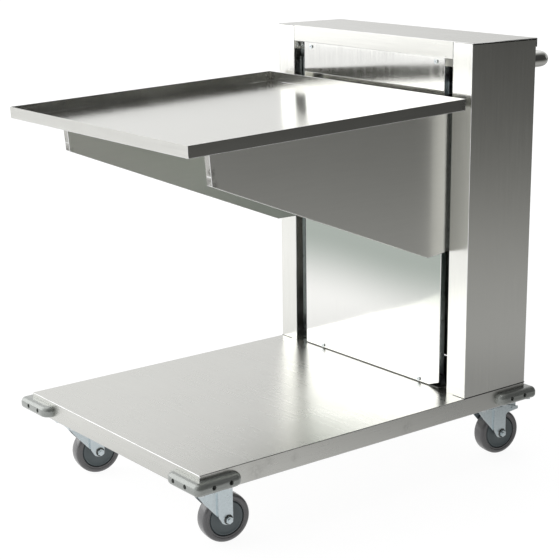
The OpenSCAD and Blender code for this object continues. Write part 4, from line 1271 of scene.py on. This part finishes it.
@dataclass
class LiftGear(SubAssembly):
    """Carriage, rollers, guide rails, stops and the coiled lift springs inside the mast."""

    coil_r: float = 7.9 * MM
    wire_r: float = 1.1 * MM
    end_gap: float = 26 * MM
    coil_pitch: float = 3.4 * MM
    coil_steps: int = 12
    hook: float = 6 * MM
    spring_xs: tuple[float, float] = (60 * MM, 150 * MM)

    def build(self) -> None:
        """Make and dress the pieces."""
        f = self.finishes
        self.dress(["guide_rail_left", "guide_rail_right", "spring_hanger", "carriage_plate_left",
                    "carriage_plate_right", "carriage_upper_beam", "carriage_lower_beam"],
                   (f.zinc, f.zinc_edge), 0.6 * MM)
        self.dress(["arm_bolts", "roller_axles"], (f.zinc_edge,), 0.35 * MM)
        self.dress(["roller_upper_left", "roller_upper_right", "roller_lower_left", "roller_lower_right"],
                   (f.collar,), 0.6 * MM)
        self.dress(["rubber_buffers"], (f.rubber,), 1.2 * MM)
        for side in Side:
            self.coil(side)

    def coil(self, side: Side) -> None:
        """Wind one side's two springs, which stretch between the hanger and the lift.

        Args:
            side: Which pair.
        """
        node = "springs_" + side.word
        low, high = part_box(node)
        y = (low.y + high.y) / 2
        meshes = [swept(self.winding(side.value * x, y, low.z, high.z), lambda i: self.wire_r, 8)
                  for x in self.spring_xs]
        piece = placed(node + "_coiled", joined(meshes, node + "_coiled"))
        piece.data.materials.append(self.finishes.zinc)
        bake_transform(piece)
        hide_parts(node)
        self.report(piece.name)

    def winding(self, x: float, y: float, low: float, high: float) -> list[Vector]:
        """Return the wire's centre line: a straight hook at each end and a close coil between.

        Args:
            x: Place across the trolley.
            y: Place along it.
            low: Height of the lower end.
            high: Height of the upper end.

        Returns:
            Points from the lower to the upper end.
        """
        first, last = low + self.end_gap, high - self.end_gap
        steps = round((last - first) / self.coil_pitch) * self.coil_steps
        points = [Vector((x, y, low + self.wire_r)), Vector((x, y, first - self.hook))]
        for i in range(steps + 1):
            angle = 2 * math.pi * i / self.coil_steps
            out = self.coil_r * min(1.0, i / 8, (steps - i) / 8)
            points.append(Vector((x + out * math.cos(angle), y + out * math.sin(angle),
                                  first + (last - first) * i / steps)))
        return points + [Vector((x, y, last + self.hook)), Vector((x, y, high - self.wire_r))]


@dataclass
class Studio:
    """Pale floor, soft world and lamps; the studio is lighter to the left and darker to the right."""

    floor_half: float = 40.0
    white: float = 1.12
    aim: tuple[float, float, float] = (0.0, 0.0, 0.45)
    key_at: tuple[float, float, float] = (-2.4, -2.1, 1.85)
    key_side: float = 2.9
    key_power: float = 30.0
    top_at: tuple[float, float, float] = (-0.6, -0.4, 3.0)
    top_side: float = 2.6
    top_power: float = 16.0
    shadow: tuple[float, ...] = (0.45, 1.1, 0.8, 1.0)
    matt_share: tuple[float, ...] = (0.9, 2.8, 0.17, 0.05)
    tone_way: tuple[float, float] = (0.77, 0.64)
    tone_from: float = -4.0
    tone_span: float = 14.0
    tones: tuple[tuple[float, float, float], ...] = (
        (-4.0, 0.8, 0.0), (-2.4, 0.96, 0.0), (-1.2, 0.96, 0.0), (-0.3, 0.9, 0.0), (0.2, 0.82, 0.0),
        (0.45, 0.72, 0.01), (0.7, 0.47, 0.01), (0.9, 0.27, 0.01), (1.0, 0.27, 0.01), (1.4, 0.37, 0.01),
        (2.0, 0.33, 0.02), (2.85, 0.25, 0.03), (4.1, 0.145, 0.04), (6.0, 0.1, 0.04), (8.0, 0.09, 0.04),
        (10.0, 0.06, 0.04))
    sky_way: tuple[float, float, float] = (-0.85, -0.45, 0.25)
    sky: tuple[tuple[float, float, float], ...] = (
        (0.0, 0.04, 0.04), (0.35, 0.05, 0.04), (0.5, 0.25, 0.02), (0.62, 0.6, 0.01), (0.71, 0.8, 0.0),
        (0.85, 0.97, 0.0))

    def build(self) -> None:
        """Make floor, world and lamps."""
        self.floor()
        self.world()
        self.lamp("key", Vector(self.key_at), self.key_side, self.key_power)
        self.lamp("top", Vector(self.top_at), self.top_side, self.top_power)
        LOG.info("Studio: floor, world and lamps")

    def floor(self) -> None:
        """Lay the floor: white to the camera apart from a soft shadow, darker far to the right for metal."""
        h = self.floor_half
        mesh = bpy.data.meshes.new("studio_floor")
        mesh.from_pydata([(x * h, y * h, FLOOR_Z) for x, y in ((-1, -1), (1, -1), (1, 1), (-1, 1))], [], [(0, 1, 2, 3)])
        placed("studio_floor", mesh)
        material, graph = new_material("pale_floor")
        mesh.materials.append(material)
        place = graph.place()
        toward = graph.part(place, Axis.X) * self.tone_way[0] + graph.part(place, Axis.Y) * self.tone_way[1]
        stops = [((at - self.tone_from) / self.tone_span, grey(*tone)) for at, *tone in self.tones]
        tone = graph.ramp(stops, (toward - self.tone_from) / self.tone_span)
        away = graph.distance(place, (0.0, 0.0, 0.0))
        tone = graph.mixed((0.0, 0.0, 0.0), tone, away.between(*self.shadow))
        rays = graph.node("ShaderNodeLightPath")
        seen = graph.mixed(tone, WHITE, rays["Is Camera Ray"])
        glow = graph.node("ShaderNodeEmission", {}, {"Color": seen, "Strength": self.white})
        matt = graph.node("ShaderNodeBsdfDiffuse", {}, {"Color": seen})
        both = graph.node("ShaderNodeMixShader", {}, {0: away.between(*self.matt_share), 1: glow[0], 2: matt[0]})
        graph.node("ShaderNodeOutputMaterial", {}, {"Surface": both[0]})

    def world(self) -> None:
        """Fill the surroundings: white to the camera, a lighter left and a darker right for metal."""
        world = bpy.data.worlds.new("soft_studio")
        world.use_nodes = True
        bpy.context.scene.world = world
        graph = Graph(world.node_tree)
        towards = graph.node("ShaderNodeTexCoord")["Generated"]
        x, y, z = (graph.part(towards, axis) for axis in Axis)
        toward = x * self.sky_way[0] + y * self.sky_way[1] + z * self.sky_way[2]
        tone = graph.ramp([(at, grey(*tone)) for at, *tone in self.sky], toward * 0.5 + 0.5)
        low = z.between(0.18, 0.34, 1.0, 0.0) * (x < 0.0)
        tone = graph.mixed(tone, (1.0, 1.0, 0.99), low * 0.35)
        rays = graph.node("ShaderNodeLightPath")
        soft = graph.mixed(grey(0.1), grey(0.8), toward.between(-0.5, 0.6))
        tone = graph.mixed(tone, soft, rays["Is Diffuse Ray"])
        tone = graph.mixed(tone, WHITE, rays["Is Camera Ray"])
        back = graph.node("ShaderNodeBackground", {}, {"Color": tone, "Strength": 1.0})
        graph.node("ShaderNodeOutputWorld", {}, {"Surface": back[0]})

    def lamp(self, name: str, at: Vector, side: float, power: float) -> None:
        """Hang a square soft lamp that faces the trolley.

        Args:
            name: The lamp's name.
            at: Where it hangs.
            side: Its side length.
            power: Its power in watts.
        """
        light = bpy.data.lights.new(name, "AREA")
        light.shape = "SQUARE"
        light.size = side
        light.energy = power
        lamp = placed(name, light)
        lamp.location = at
        lamp.rotation_mode = "QUATERNION"
        lamp.rotation_quaternion = (Vector(self.aim) - at).to_track_quat("-Z", "Y")
        lamp.visible_camera = False


@dataclass
class PhotoCamera:
    """Camera at the photograph's place, fitted to the trolley's straight edges."""

    at: tuple[float, float, float] = (2.4105, -1.8735, 1.1917)
    azimuth: float = 0.8790934
    elevation: float = 0.2930484
    roll: float = -0.0019666
    focal_px: float = 1492.686
    axis_px: tuple[float, float] = (337.071, 342.303)

    def build(self) -> None:
        """Add the camera and make it the scene's."""
        data = bpy.data.cameras.new("photo_camera")
        data.sensor_width = 36.0
        data.lens = self.focal_px / PHOTO_PX * data.sensor_width
        data.shift_x = (PHOTO_PX / 2 - self.axis_px[0]) / PHOTO_PX
        data.shift_y = (self.axis_px[1] - PHOTO_PX / 2) / PHOTO_PX
        data.clip_start, data.clip_end = 0.05, 200.0
        camera = placed("photo_camera", data)
        back = Vector((math.sin(self.azimuth) * math.cos(self.elevation),
                       -math.cos(self.azimuth) * math.cos(self.elevation), math.sin(self.elevation)))
        level = Vector((math.cos(self.azimuth), math.sin(self.azimuth), 0.0))
        upright = back.cross(level)
        right = level * math.cos(self.roll) + upright * math.sin(self.roll)
        up = upright * math.cos(self.roll) - level * math.sin(self.roll)
        turn = Matrix((right, up, back)).transposed().to_4x4()
        camera.matrix_world = Matrix.Translation(Vector(self.at)) @ turn
        bpy.context.scene.camera = camera
        LOG.info("PhotoCamera: placed")


def main() -> None:
    """Build the studio and every sub-assembly in order."""
    logging.basicConfig(level=logging.INFO, format="%(message)s")
    bpy.context.scene.view_settings.view_transform = "Standard"
    PhotoCamera().build()
    Studio().build()
    finishes = Finishes()
    castors = [Castor(finishes, end, side) for end in KINGPIN_Y for side in Side]
    for group in [Deck(finishes), Bumpers(finishes), *castors, Mast(finishes), PushHandle(finishes),
                  Platform(finishes), Arms(finishes), LiftGear(finishes)]:
        group.build()


if __name__ == "__main__":
    main()
